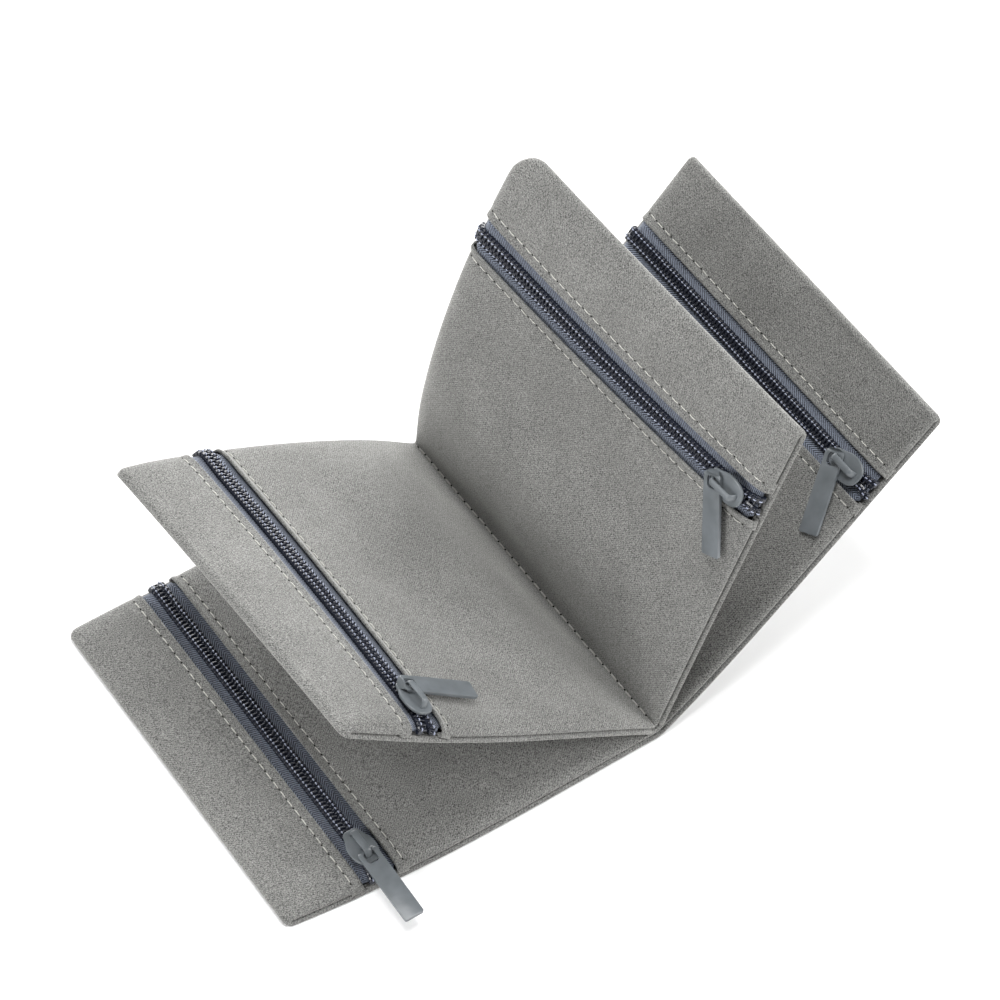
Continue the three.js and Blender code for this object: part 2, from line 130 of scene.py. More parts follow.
TAB_WIDTH = 5.9
TAB_THICK = 1.0
TAB_HOLE = (3.6, 3.4)
TAB_HOLE_ROUND = 1.0
TAB_END_BAR = 1.4
TAB_HEAD_ROUND = 1.9  # radius of the two corners at the hole
TAB_TIP_ROUND = 0.6  # and of the two at the tip
TAB_EDGE_ROUND = 0.13
TAB_STEP = (0.55, 0.35)  # from the hole to the step in the tab's thickness, and the step's length
TAB_THIN = 0.78  # share of the thickness before the step
TIP_CLEAR = 1.1  # of the tab's tip over the cloth
TAB_PULL = 1.1  # how far the tab hangs out on its leg

# Each side of a leaf: its angle at the spine, its bend on the way out and the lean of its seam, in degrees.
# Corner is the radius of the outer fold's near and far corners. Tab says which leg and which way.
# Pull is how the sewing pulls the limp cloth out of square, in mm: the near side's middle and corner out, the
# far side's corner out, the outer fold out at its near and far end, and the zip's middle in to the spine.
# Phase makes each leaf's ripples its own.
LEAVES = [
    dict(name="outer_left", left=True, outer=True, width=OUTER_WIDTH, corner=(1.6, 2.4), tab=("nose", 90),
         near=(180, 0, 0.747), far=(180, 0, -1.245), pull=(1.2, -2.8, 1.4, 1.2, 0.8, 0.0), phase=0.4),
    dict(name="inner_left", left=True, outer=False, width=INNER_WIDTH, corner=(3.0, 2.2), tab=("tail", 10),
         near=(146, -0.5, 3.8), far=(140, 15.5, -2.9), pull=(2.3, 0.0, 0.3, 0.0, 1.2, 1.3), phase=1.9),
    dict(name="inner_right", left=False, outer=False, width=INNER_WIDTH, corner=(1.6, 9.0), tab=("tail", 22),
         near=(72, -2.2, -3), far=(87, -26, -4), pull=(0.0, 0.0, 1.0, 0.0, 2.8, 1.4), phase=3.1),
    dict(name="outer_right", left=False, outer=True, width=OUTER_WIDTH, corner=(1.6, 1.6), tab=("tail", 25),
         near=(28, 14, 2.49), far=(25, 19, -0.498), pull=(-1.4, -0.6, 2.4, 0.0, 1.2, 0.0), phase=4.6),
]
FOLD_JOINT = next(j for j in frame["joints"] if j["name"] == "outer_right_fold")
SPINE = np.array(FOLD_JOINT["pos_m"]) / MM  # a point of the axis that the leaves fold about


def panel_hem(leaf):
    return leaf["width"] - BAND_WIDTH - ZIP_WINDOW


def band_hem(leaf):
    return leaf["width"] - BAND_WIDTH


def zip_line(leaf):
    return leaf["width"] - BAND_WIDTH - ZIP_WINDOW / 2


def side_points(leaf, side, u, h):
    """Points of one side of a leaf, across the spine and up, around the spine's axis."""
    start = math.radians(side[0])
    curve = math.radians(side[1]) / leaf["width"]
    angle = start + curve * u
    facing = 1 if leaf["left"] else -1
    back = OUTER_BACK if leaf["outer"] else INNER_BACK
    if curve:
        out = (np.sin(angle) - math.sin(start)) / curve
        up = (math.cos(start) - np.cos(angle)) / curve
    else:
        out = u * math.cos(start)
        up = u * math.sin(start)
    return (out + facing * (h * np.sin(angle) - back * math.sin(start)),
            up - facing * (h * np.cos(angle) - back * math.cos(start)))


def pulled(leaf, u, s):
    """Where the limp cloth at u and s really lies."""
    near_middle, near_corner, far_corner, near_fold, far_fold, zip_bow = leaf["pull"]
    t = np.clip(s / LEAF_LENGTH, 0, 1)
    x = np.clip(u / leaf["width"], 0, 1)
    bow = zip_bow * 4 * t * (1 - t) * np.exp(-((u - zip_line(leaf)) / ZIP_BOW_REACH) ** 2)
    near = near_middle * np.sin(np.pi * x ** 1.4) + near_corner * x ** 3
    return (u + (near_fold * (1 - t) + far_fold * t) * x ** 5 - bow,
            s - near * (1 - t) ** 3 + far_corner * x ** 3 * t ** 3)


def leaf_points(leaf, u, s, h):
    """Points of a leaf, in metres in the part's frame."""
    u, s, h = np.broadcast_arrays(np.asarray(u, float), np.asarray(s, float), np.asarray(h, float))
    t = s / LEAF_LENGTH
    u, s = pulled(leaf, u, s)
    near = side_points(leaf, leaf["near"], u, h)
    far = side_points(leaf, leaf["far"], u, h)
    lean = math.tan(math.radians(leaf["near"][2])) * (1 - t) + math.tan(math.radians(leaf["far"][2])) * t
    across = near[0] * (1 - t) + far[0] * t
    up = near[1] * (1 - t) + far[1] * t
    return (np.stack([across, s - LEAF_LENGTH / 2 + lean * u, up], -1) + SPINE) * MM


def fullness(s):
    """Share of a pocket's full thickness, which it loses towards its side seams."""
    from_seam = np.clip(np.minimum(s, LEAF_LENGTH - s) / SEAM_RISE, 0, 1)
    return np.sqrt(1 - (1 - from_seam) ** 2)


def crown(leaf, u, s):
    """How far the front panel bulges."""
    across = np.clip(u / (panel_hem(leaf) - CROWN_INSET), 0, 1)
    return CROWN * np.sin(np.pi * across) ** 2 * np.sin(np.pi * np.clip(s / LEAF_LENGTH, 0, 1))


def thickness(leaf, u, s):
    """Height of the leaf's front over its back."""
    from_spine = SEWN_THICK + (LEAF_THICK - SEWN_THICK) * np.sin(np.clip(u / SPINE_RISE, 0, 1) * np.pi / 2)
    fold_share = np.clip((u - leaf["width"] + EDGE_RISE) / (EDGE_RISE - EDGE_THICK / 2), 0, 1)
    full = from_spine + (EDGE_THICK - from_spine) * (1 - np.cos(fold_share * np.pi / 2))
    return SEWN_THICK + (full - SEWN_THICK) * fullness(s) + crown(leaf, u, s)


def ripple(leaf, u, s):
    """Slow waves of the slack cloth, which die out at the zip, the spine and the seams."""
    phase = leaf["phase"]
    slack = np.clip(np.minimum(s, LEAF_LENGTH - s) / SLACK_INSET, 0, 1)
    from_zip = np.abs(u - zip_line(leaf))
    clear = np.clip((from_zip - ZIP_CALM[0]) / ZIP_CALM[1], 0, 1) * np.clip(u / SPINE_CALM, 0, 1)
    # The waves slant over the cloth. Their numbers are radians a millimetre.
    long_wave = np.sin(s * 0.071 + u * 0.033 + phase) * np.sin(u * 0.058 - s * 0.019 + 2 * phase)
    short_wave = np.sin(s * 0.19 - u * 0.11 + 3 * phase) * np.sin(u * 0.15 + s * 0.05 + phase)
    return slack * clear * (LONG_RIPPLE * long_wave + SHORT_RIPPLE * short_wave)


def pucker(leaf, u, s):
    """The dip that each row of stitches pulls into the cloth, deepest at the needle holes."""
    dip = 0
    for row in (panel_hem(leaf) - STITCH_INSET, band_hem(leaf) + STITCH_INSET):
        beat = 0.65 - 0.35 * np.cos(2 * np.pi * s / STITCH_PITCH)
        dip = dip + PUCKER * np.exp(-((u - row) / PUCKER_REACH) ** 2) * beat
    return dip


def hem_lift(leaf, u):
    """The folded hems stand up on both sides of the zip, the front panel's with a slit under it."""
    panel = PANEL_LIFT * np.exp(-((u - panel_hem(leaf)) / PANEL_LIFT_REACH) ** 2)
    band = BAND_LIFT * np.exp(-((u - band_hem(leaf)) / BAND_LIFT_REACH) ** 2)
    return panel + band


def front(leaf, u, s):
    """Height of the cloth's front over the leaf's back."""
    return thickness(leaf, u, s) + ripple(leaf, u, s) - pucker(leaf, u, s) + hem_lift(leaf, u)


# Meshes


def add_object(name, points, faces, uvs=None):
    """A new object at the origin from points in metres, with a UV map in millimetres where uvs is given."""
    mesh = bpy.data.meshes.new(name)
    mesh.from_pydata(points.reshape(-1, 3).tolist(), [], faces)
    mesh.update()
    if uvs is not None:
        layer = mesh.uv_layers.new(name="cloth_mm")
        corner = np.zeros(len(mesh.loops), np.int32)
        mesh.loops.foreach_get("vertex_index", corner)
        layer.data.foreach_set("uv", uvs.reshape(-1, 2)[corner].astype(np.float32).ravel())
    obj = bpy.data.objects.new(name, mesh)
    bpy.context.scene.collection.objects.link(obj)
    return obj


def grid_faces(rows, columns, wrap=False):
    """Quads over a grid of points, closed round the columns if wrap is set."""
    faces = []
    for i in range(rows - 1):
        for j in range(columns if wrap else columns - 1):
            k = (j + 1) % columns
            faces.append((i * columns + j, i * columns + k, (i + 1) * columns + k, (i + 1) * columns + j))
    return faces


def capped_faces(rows, columns):
    """Quads over rings of points, with a face over the first and the last ring."""
    last = (rows - 1) * columns
    caps = [tuple(range(columns))[::-1], tuple(range(last, last + columns))]
    return grid_faces(rows, columns, wrap=True) + caps


def pick(obj):
    """Makes an object the only one selected, and the active one."""
    bpy.ops.object.select_all(action="DESELECT")
    bpy.context.view_layer.objects.active = obj
    obj.select_set(True)


def apply_modifier(obj, kind, **settings):
    pick(obj)
    modifier = obj.modifiers.new(kind.lower(), kind)
    for key, value in settings.items():
        setattr(modifier, key, value)
    bpy.ops.object.modifier_apply(modifier=modifier.name)


def smooth(obj, angle=None):
    pick(obj)
    if angle is None:
        bpy.ops.object.shade_smooth()
    else:
        bpy.ops.object.shade_smooth_by_angle(angle=math.radians(angle))


def face_out(obj):
    """Recalculates the normals of a closed mesh to point outwards."""
    pick(obj)
    bpy.ops.object.mode_set(mode="EDIT")
    bpy.ops.mesh.select_all(action="SELECT")
    bpy.ops.mesh.remove_doubles(threshold=1e-7)
    bpy.ops.mesh.normals_make_consistent(inside=False)
    bpy.ops.object.mode_set(mode="OBJECT")


def tube(name, line, radius, sides):
    """A closed tube round a line of points."""
    ahead = np.gradient(line, axis=0)
    ahead /= np.linalg.norm(ahead, axis=1)[:, None]
    reference = np.zeros_like(ahead)
    reference[:, 1] = 1.0
    reference[np.abs(ahead[:, 1]) > 0.9] = (0.0, 0.0, 1.0)
    one = np.cross(ahead, reference)
    one /= np.linalg.norm(one, axis=1)[:, None]
    two = np.cross(ahead, one)
    for i in range(1, len(line)):
        turned = one[i - 1] - ahead[i] * (one[i - 1] @ ahead[i])
        one[i] = turned / np.linalg.norm(turned)
        two[i] = np.cross(ahead[i], one[i])
    around = 2 * np.pi * np.arange(sides) / sides
    ring = np.cos(around)[None, :, None] * one[:, None] + np.sin(around)[None, :, None] * two[:, None]
    points = line[:, None] + radius * ring
    obj = add_object(name, points, capped_faces(len(line), sides))
    face_out(obj)
    smooth(obj)
    return obj


def dress(obj, material, slot, body, *nodes):
    """Gives a piece its material, the body it rides on and the CAD nodes it stands for. Slot is not used."""
    if material:
        obj.data.materials.append(material)
    if body:
        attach(obj, body)
    if nodes:
        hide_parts(*nodes)


# Materials


def srgb(code):
    """Linear colour of an sRGB hex value."""
    channels = [int(code[i:i + 2], 16) / 255 for i in (1, 3, 5)]
    return tuple(c / 12.92 if c <= 0.04045 else ((c + 0.055) / 1.055) ** 2.4 for c in channels) + (1.0,)


def per_mm(size):
    """Texture scale, on coordinates in metres, for a pattern of that size in millimetres."""
    return 1 / (size * MM)


def add_node(tree, kind, settings=None, links=None):
    """Adds a node, sets its inputs and properties, and links its inputs."""
    node = tree.nodes.new(kind)
    for key, value in (settings or {}).items():
        if isinstance(key, int) or key in node.inputs:
            node.inputs[key].default_value = value
        else:
            setattr(node, key, value)
    for key, socket in (links or {}).items():
        tree.links.new(socket, node.inputs[key])
    return node


def new_material(name, **shader):
    """A material with a Principled shader whose constant sockets are set, and its tree and shader."""
    material = bpy.data.materials.new(name)
    material.use_nodes = True
    principled = material.node_tree.nodes["Principled BSDF"]
    for key, value in shader.items():
        principled.inputs[key.replace("_", " ")].default_value = value
    return material, material.node_tree, principled


WAVE_UNIT = 0.628  # period of a diagonal wave texture at a scale of 1


def velvet_material():
    """Brushed polyester velvet, cut short: a twill ground shows faintly through a soft pile that lightens at
    a grazing look, with specks where the pile leans another way. Specks and twill are coarser than real, as
    they need to be to show."""
    speck_size, nap_size, twill_pitch = 0.36, 16, 0.85
    material, tree, shader = new_material("brushed_velvet", Roughness=0.95, Specular_IOR_Level=0.15,
                                          Sheen_Weight=0.55, Sheen_Roughness=0.45,
                                          Sheen_Tint=srgb("#f2f1ec"))
    coords = add_node(tree, "ShaderNodeTexCoord")
    grain = add_node(tree, "ShaderNodeTexNoise",
                     {"Scale": per_mm(speck_size), "Detail": 2.0, "Roughness": 0.7},
                     {"Vector": coords.outputs["Object"]})
    nap = add_node(tree, "ShaderNodeTexNoise", {"Scale": per_mm(nap_size), "Detail": 3.0, "Roughness": 0.55},
                   {"Vector": coords.outputs["Object"]})
    twill = add_node(tree, "ShaderNodeTexWave",
                     {"bands_direction": "DIAGONAL", "Scale": WAVE_UNIT / twill_pitch,
                      "Distortion": 1.2, "Detail": 1.0, "Detail Scale": 0.8},
                     {"Vector": coords.outputs["UV"]})
    weave = add_node(tree, "ShaderNodeMath", {"operation": "MULTIPLY_ADD", 1: 0.07},
                     {0: twill.outputs["Fac"], 2: grain.outputs["Fac"]})
    speck = add_node(tree, "ShaderNodeValToRGB", None, {"Fac": weave.outputs[0]})
    speck.color_ramp.elements[0].position = 0.34
    speck.color_ramp.elements[0].color = srgb("#2c2c2c")
    speck.color_ramp.elements[1].position = 0.74
    speck.color_ramp.elements[1].color = srgb("#999996")
    shade = add_node(tree, "ShaderNodeMapRange",
                     {"From Min": 0.3, "From Max": 0.7, "To Min": 0.9, "To Max": 1.08},
                     {"Value": nap.outputs["Fac"]})
    colour = add_node(tree, "ShaderNodeVectorMath", {"operation": "SCALE"},
                      {0: speck.outputs["Color"], "Scale": shade.outputs["Result"]})
    tree.links.new(colour.outputs["Vector"], shader.inputs["Base Color"])
    bump = add_node(tree, "ShaderNodeBump", {"Strength": 0.55, "Distance": 0.25 * MM},
                    {"Height": weave.outputs[0]})
    tree.links.new(bump.outputs["Normal"], shader.inputs["Normal"])
    return material


def tape_material():
    """Woven polyester zip tape: herringbone twill, whose ribs change their slant in bands along the tape."""
    band_width, slope, rib_pitch, fibre_size = 2.1, 1.3, 0.95, 0.4
    material, tree, shader = new_material("herringbone_polyester_tape", Roughness=0.75,
                                          Specular_IOR_Level=0.3, Sheen_Weight=0.2)
    coords = add_node(tree, "ShaderNodeTexCoord")
    place = add_node(tree, "ShaderNodeSeparateXYZ", None, {"Vector": coords.outputs["UV"]})
    chevron = add_node(tree, "ShaderNodeMath", {"operation": "PINGPONG", 1: band_width},
                       {0: place.outputs["X"]})
    slant = add_node(tree, "ShaderNodeMath", {"operation": "MULTIPLY_ADD", 1: slope},
                     {0: chevron.outputs[0], 2: place.outputs["Y"]})
    turns = add_node(tree, "ShaderNodeMath", {"operation": "MULTIPLY", 1: 2 * math.pi / rib_pitch},
                     {0: slant.outputs[0]})
    rib = add_node(tree, "ShaderNodeMath", {"operation": "SINE"}, {0: turns.outputs[0]})
    fibre = add_node(tree, "ShaderNodeTexNoise", {"Scale": per_mm(fibre_size), "Detail": 2.0},
                     {"Vector": coords.outputs["Object"]})
    height = add_node(tree, "ShaderNodeMath", {"operation": "MULTIPLY_ADD", 1: 0.45},
                      {0: rib.outputs[0], 2: fibre.outputs["Fac"]})
    ramp = add_node(tree, "ShaderNodeValToRGB", None, {"Fac": height.outputs[0]})
    ramp.color_ramp.elements[0].position = 0.12
    ramp.color_ramp.elements[0].color = srgb("#22262f")
    ramp.color_ramp.elements[1].position = 0.92
    ramp.color_ramp.elements[1].color = srgb("#8e96a6")
    tree.links.new(ramp.outputs["Color"], shader.inputs["Base Color"])
    bump = add_node(tree, "ShaderNodeBump", {"Strength": 0.8, "Distance": 0.2 * MM},
                    {"Height": height.outputs[0]})
    tree.links.new(bump.outputs["Normal"], shader.inputs["Normal"])
    return material


def nylon_material():
    """Drawn nylon monofilament, dyed navy: smooth, so every turn of the coil carries a small highlight."""
    material, tree, shader = new_material("dyed_nylon_monofilament", Roughness=0.24, IOR=1.53)
    coords = add_node(tree, "ShaderNodeTexCoord")
    tone = add_node(tree, "ShaderNodeTexNoise", {"Scale": per_mm(1.1)}, {"Vector": coords.outputs["Object"]})
    ramp = add_node(tree, "ShaderNodeValToRGB", None, {"Fac": tone.outputs["Fac"]})
    ramp.color_ramp.elements[0].color = srgb("#0f1119")
    ramp.color_ramp.elements[1].color = srgb("#1f2432")
    tree.links.new(ramp.outputs["Color"], shader.inputs["Base Color"])
    return material


def thread_material(name, dark, light):
    """Spun polyester sewing thread: matt, with a fine twist that is drawn as coarse as it shows."""
    material, tree, shader = new_material(name, Roughness=0.8, Specular_IOR_Level=0.25, Sheen_Weight=0.25)
    coords = add_node(tree, "ShaderNodeTexCoord")
    twist = add_node(tree, "ShaderNodeTexNoise", {"Scale": per_mm(0.3), "Detail": 2.0},
                     {"Vector": coords.outputs["Object"]})
    ramp = add_node(tree, "ShaderNodeValToRGB", None, {"Fac": twist.outputs["Fac"]})
    ramp.color_ramp.elements[0].position = 0.3
    ramp.color_ramp.elements[0].color = srgb(dark)
    ramp.color_ramp.elements[1].position = 0.7
    ramp.color_ramp.elements[1].color = srgb(light)
    tree.links.new(ramp.outputs["Color"], shader.inputs["Base Color"])
    bump = add_node(tree, "ShaderNodeBump", {"Strength": 0.4, "Distance": 0.08 * MM},
                    {"Height": twist.outputs["Fac"]})
    tree.links.new(bump.outputs["Normal"], shader.inputs["Normal"])
    return material


def needle_hole_shade_material():
    """The shade inside a needle hole in the pile."""
    material, tree, shader = new_material("painted_needle_hole_shade", Roughness=1.0, Specular_IOR_Level=0.0)
    coords = add_node(tree, "ShaderNodeTexCoord")
    tone = add_node(tree, "ShaderNodeTexNoise", {"Scale": per_mm(0.4)}, {"Vector": coords.outputs["Object"]})
    ramp = add_node(tree, "ShaderNodeValToRGB", None, {"Fac": tone.outputs["Fac"]})
    ramp.color_ramp.elements[0].color = srgb("#1d1d1b")
    ramp.color_ramp.elements[1].color = srgb("#3a3a37")
    tree.links.new(ramp.outputs["Color"], shader.inputs["Base Color"])
    return material


def zinc_material():
    """Die-cast zinc, spray painted a cool grey: an even satin film with a faint orange peel."""
    material, tree, shader = new_material("painted_cast_zinc", Metallic=0.0, IOR=1.5)
    coords = add_node(tree, "ShaderNodeTexCoord")
    peel = add_node(tree, "ShaderNodeTexNoise", {"Scale": per_mm(0.7), "Detail": 2.0},
                    {"Vector": coords.outputs["Object"]})
    haze = add_node(tree, "ShaderNodeTexNoise", {"Scale": per_mm(5), "Detail": 2.0},
                    {"Vector": coords.outputs["Object"]})
    ramp = add_node(tree, "ShaderNodeValToRGB", None, {"Fac": haze.outputs["Fac"]})
    ramp.color_ramp.elements[0].position = 0.3
    ramp.color_ramp.elements[0].color = srgb("#5c6164")
    ramp.color_ramp.elements[1].position = 0.7
    ramp.color_ramp.elements[1].color = srgb("#6a6f73")
    tree.links.new(ramp.outputs["Color"], shader.inputs["Base Color"])
    gloss = add_node(tree, "ShaderNodeMapRange", {"To Min": 0.26, "To Max": 0.4},
                     {"Value": haze.outputs["Fac"]})
    tree.links.new(gloss.outputs["Result"], shader.inputs["Roughness"])
    bump = add_node(tree, "ShaderNodeBump", {"Strength": 0.12, "Distance": 0.1 * MM},
                    {"Height": peel.outputs["Fac"]})
    tree.links.new(bump.outputs["Normal"], shader.inputs["Normal"])
    return material


VELVET = velvet_material()
TAPE = tape_material()
NYLON = nylon_material()
THREAD = thread_material("pale_sewing_thread", "#a3a29c", "#d2d1ca")
ZIP_THREAD = thread_material("pale_zip_thread", "#8288a0", "#b4bac8")
# The seam thread is coloured near black, as painted shade of the groove it lies in.
SEAM_THREAD_GROOVE_SHADE = thread_material("seam_thread_painted_groove_shade", "#262624", "#40403d")
# The needle holes' material is painted shade.
NEEDLE_HOLE_SHADE = needle_hole_shade_material()
ZINC = zinc_material()

# Cloth

# Rows of a leaf's cloth beside a seam: how far in from the side, and the share of its height over the seam
# line. The cloth turns in at the seam line, bellies out to the side and rolls over onto the front.
ROLL = [(1.7, 0.0), (0.7, 0.06), (0.2, 0.2), (0.0, 0.45), (0.07, 0.66), (0.3, 0.84), (0.75, 0.96), (1.5, 1.0)]
BELLY = 3  # the row of the roll that reaches furthest out
ROW_STEP = 0.78  # between rows over the rest of the leaf


def cloth_rows():
    """Rows along a leaf, as arrays of s and of the height share."""
    first, last = ROLL[-1][0], LEAF_LENGTH - ROLL[-1][0]
    count = round((last - first) / ROW_STEP)
    middle = [(s, 1.0) for s in np.linspace(first, last, count + 1)[1:-1]]
    far = [(LEAF_LENGTH - s, k) for s, k in reversed(ROLL)]
    rows = np.array(ROLL + middle + far)
    return rows[:, 0], rows[:, 1]


def outer_edge(leaf, s):
    """How far the outer fold lies from the spine at the cloth's rows: it turns in at its two corners."""
    s = s.copy()
    s[:BELLY] = 0
    s[-BELLY:] = LEAF_LENGTH
    edge = np.full_like(s, leaf["width"])
    for radius, from_side in ((leaf["corner"][0], s), (leaf["corner"][1], LEAF_LENGTH - s)):
        short = np.clip(1 - from_side / radius, 0, 1)
        edge = edge - radius * (1 - np.sqrt(1 - short ** 2))
    return edge


def seam_lip(s, h):
    """How far the cloth at s and height h goes to the near side: the back's edge stands out at both seams."""
    side = np.clip(1 - s / LIP_REACH, 0, 1) - np.clip(1 - (LEAF_LENGTH - s) / LIP_REACH, 0, 1)
    return LIP * np.clip(1 - h / GROOVE, 0, 1) * side


def lay_cloth(name, leaf, u, h, from_back=False):
    """A sheet of cloth from its places u and heights h, rows by columns, drawn in to both side seams."""
    s, share = cloth_rows()
    h = GROOVE + (h - GROOVE) * share[:, None]
    points = leaf_points(leaf, u, s[:, None] - seam_lip(s[:, None], h), h)
    run = np.cumsum(np.linalg.norm(np.diff(points, axis=1, prepend=points[:, :1]), axis=2), axis=1) / MM
    uvs = np.stack([run, np.broadcast_to(s[:, None], run.shape)], -1)
    faces = grid_faces(*u.shape)
    if leaf["left"] != from_back:
        faces = [face[::-1] for face in faces]
    obj = add_object(name, points, faces, uvs)
    apply_modifier(obj, "SOLIDIFY", thickness=CLOTH * MM, offset=-1.0)
    smooth(obj)
    return obj


def hem_turn(hem, way, top, lift):
    """Places and heights of a hem: round its fold and back under the cloth, down by the hem's lift.

    Way is 1 if the hem faces the spine.
    """
    turn = np.radians(np.linspace(0, HALF_TURN, 7))
    round_u = hem + way * HEM_ROLL - way * HEM_ROLL * np.sin(turn)
    round_h = top - HEM_ROLL + HEM_ROLL * np.cos(turn)
    under_u = hem + way * np.linspace(HEM_ROLL, HEM_TUCK, 4)[1:]
    under_h = top - 2 * HEM_ROLL - lift * np.array(FLAP_SINK)
    ones = np.ones_like(top)
    return np.hstack([ones * round_u, ones * under_u]), np.hstack([round_h, under_h])


def make_front(leaf):
    """The front panel: from the valley at the spine to the hem beside the zip.

    Its columns lie closer at the spine and under the row of stitches.
    """
    s = cloth_rows()[0][:, None]
    hem = panel_hem(leaf)
    by_spine = [0.02, 0.5, 1.1, 2.0, 3.2]
    by_hem = np.linspace(hem - 5, hem - HEM_LEAD, 12)
    u = np.concatenate([by_spine, np.linspace(4.8, hem - 5.5, 36), by_hem])
    valley = VALLEY_RISE * np.exp(-u / VALLEY_REACH)
    h = front(leaf, u, s) + valley
    turn_u, turn_h = hem_turn(hem, -1, front(leaf, hem - HEM_ROLL, s), PANEL_LIFT)
    name = leaf["name"] + "_front_cloth"
    obj = lay_cloth(name, leaf, np.hstack([np.broadcast_to(u, h.shape), turn_u]), np.hstack([h, turn_h]))
    dress(obj, VELVET, "velvet", leaf["name"] + "_leaf", leaf["name"] + "_front_panel")


def make_back(leaf):
    """The back panel: behind the pocket, round the outer fold and to the edge band's hem beside the zip."""
    s = cloth_rows()[0][:, None]
    hem = band_hem(leaf)
    edge = outer_edge(leaf, s)
    radius = thickness(leaf, edge, s) / 2
    bend = edge - radius
    turn = np.radians(np.linspace(-QUARTER_TURN, QUARTER_TURN, 11))
    back_u = np.linspace(0, 1, 40)[:-1] * bend
    fold_u = bend + radius * np.cos(turn)
    fold_h = radius + radius * np.sin(turn)
    band_u = bend + (hem + HEM_LEAD - bend) * np.linspace(0, 1, 27)[1:] ** 0.9
    band_h = front(leaf, band_u, s)
    turn_u, turn_h = hem_turn(hem, 1, front(leaf, hem + HEM_ROLL, s), BAND_LIFT)
    u = np.hstack([back_u, fold_u, band_u, turn_u])
    h = np.hstack([np.zeros_like(back_u), fold_h, band_h, turn_h])
    obj = lay_cloth(leaf["name"] + "_back_cloth", leaf, u, h, from_back=True)
    dress(obj, VELVET, "velvet", leaf["name"] + "_leaf", leaf["name"] + "_back_panel")


# Zip

NEAR_ROLL = (1.9, 1.6)  # where the chain starts to roll into the near seam, and the radius of that roll
FAR_ROLL = (LEAF_LENGTH - 3.6, 3.9)
NEAR_TURN = 1.7  # radians that the chain rolls over
FAR_TURN = 1.3
CHAIN_START = NEAR_ROLL[0] - NEAR_ROLL[1] * NEAR_TURN
CHAIN_END = FAR_ROLL[0] + FAR_ROLL[1] * FAR_TURN
FAR_HUMP = 0.5  # how far the chain stands up near the far side
HUMP_START = 12.0  # from the far side
HUMP_RISE = 8.0
PARTING = 0.9  # how far each half of the coil lies off the zip line at the near side
PARTING_RUN = 8.0
TAPE_SLOT = 0.12  # from the zip line to a tape's edge
TAPE_ENDS = (2.4, LEAF_LENGTH - 2.8)  # of the part of a tape that lies under the cloth
TAPE_ROWS = 170
COIL_BED = 0.12  # how far a tape stands up under the coil
BED_EDGE = 3.0  # how far from the zip line that ends
BED_SLOPE = 1.5
COIL_STEPS = 12
COIL_SIDES = 6
COIL_WIRE = 0.34
COIL_REACH = {1: (-0.85, 2.4), -1: (0.25, 2.4)}  # from the zip line: one half's heads lie over the other's
COIL_RISE = (-1.0, 0.55)  # from the cloth's front
COIL_LEAD = 0.6  # from the chain's start to the first turn
COIL_TAIL = 0.3  # what is left of the chain after the last
CORD_FLOOR = -0.9  # the filler cord inside the turns: a core cord in the coil's dark nylon that closes the view between them as painted shade
CORD_RISE = -0.15
CORD_SWELL = 0.3  # how much it swells where the chain rolls into the far seam
SWELL_LEAD = 0.5  # how far before the roll the swelling starts
SWELL_RUN = 1.5


def chain_points(leaf, u, run, up):
    """Points over the zip. Run is the way along the chain, which humps up and rolls into both seams."""
    near_turn = np.clip((NEAR_ROLL[0] - run) / NEAR_ROLL[1], 0, None)
    far_turn = np.clip((run - FAR_ROLL[0]) / FAR_ROLL[1], 0, None)
    s = np.clip(run, NEAR_ROLL[0], FAR_ROLL[0])
    hump = FAR_HUMP * np.clip((s - LEAF_LENGTH + HUMP_START) / HUMP_RISE, 0, 1)
    level = np.where(s < LEAF_LENGTH / 2, thickness(leaf, zip_line(leaf), s), LEAF_THICK + hump)
    s = s - NEAR_ROLL[1] * np.sin(near_turn) + FAR_ROLL[1] * np.sin(far_turn)
    drop = NEAR_ROLL[1] * (1 - np.cos(near_turn)) + FAR_ROLL[1] * (1 - np.cos(far_turn))
    turn = far_turn - near_turn
    return leaf_points(leaf, u, s + up * np.sin(turn), level - drop + up * np.cos(turn))


def parting(run):
    """How far each half of the coil lies from the zip line: the halves part in front of the slider."""
    return PARTING * np.clip(1 - run / PARTING_RUN, 0, 1.2) ** 1.5


def make_tape(leaf, side, way):
    """One zip tape, from under the chain to under the cloth."""
    run = np.linspace(CHAIN_START, CHAIN_END, TAPE_ROWS)[:, None]
    across = np.linspace(TAPE_SLOT, ZIP_WINDOW / 2 + TAPE_TUCK, 17)[None, :]
    inside = np.linspace(*TAPE_ENDS, TAPE_ROWS)[:, None]
    run = np.where(across > ZIP_WINDOW / 2, inside, run)
    under_coil = COIL_BED * np.clip((BED_EDGE - across) / BED_SLOPE, 0, 1)
    points = chain_points(leaf, zip_line(leaf) + way * across, run, under_coil - TAPE_DROP)
    uvs = np.stack(np.broadcast_arrays(across, run), -1)
    faces = grid_faces(*points.shape[:2])
    if leaf["left"] == (way > 0):
        faces = [face[::-1] for face in faces]
    obj = add_object(f"{leaf['name']}_tape_{side}", points, faces, uvs)
    apply_modifier(obj, "SOLIDIFY", thickness=TAPE_THICK * MM, offset=-1.0)
    smooth(obj, 40)
    dress(obj, TAPE, "zip_tape", leaf["name"] + "_leaf", f"{leaf['name']}_zip_tape_{side}")


def coil_first(way):
    """Run of the first top crossing: one half lies half a turn on from the other."""
    return CHAIN_START + COIL_LEAD + (COIL_PITCH / 2 if way > 0 else 0)


def coil_turns(first):
    """How many whole turns go on the chain from there."""
    return int((CHAIN_END - COIL_TAIL - first) / COIL_PITCH)


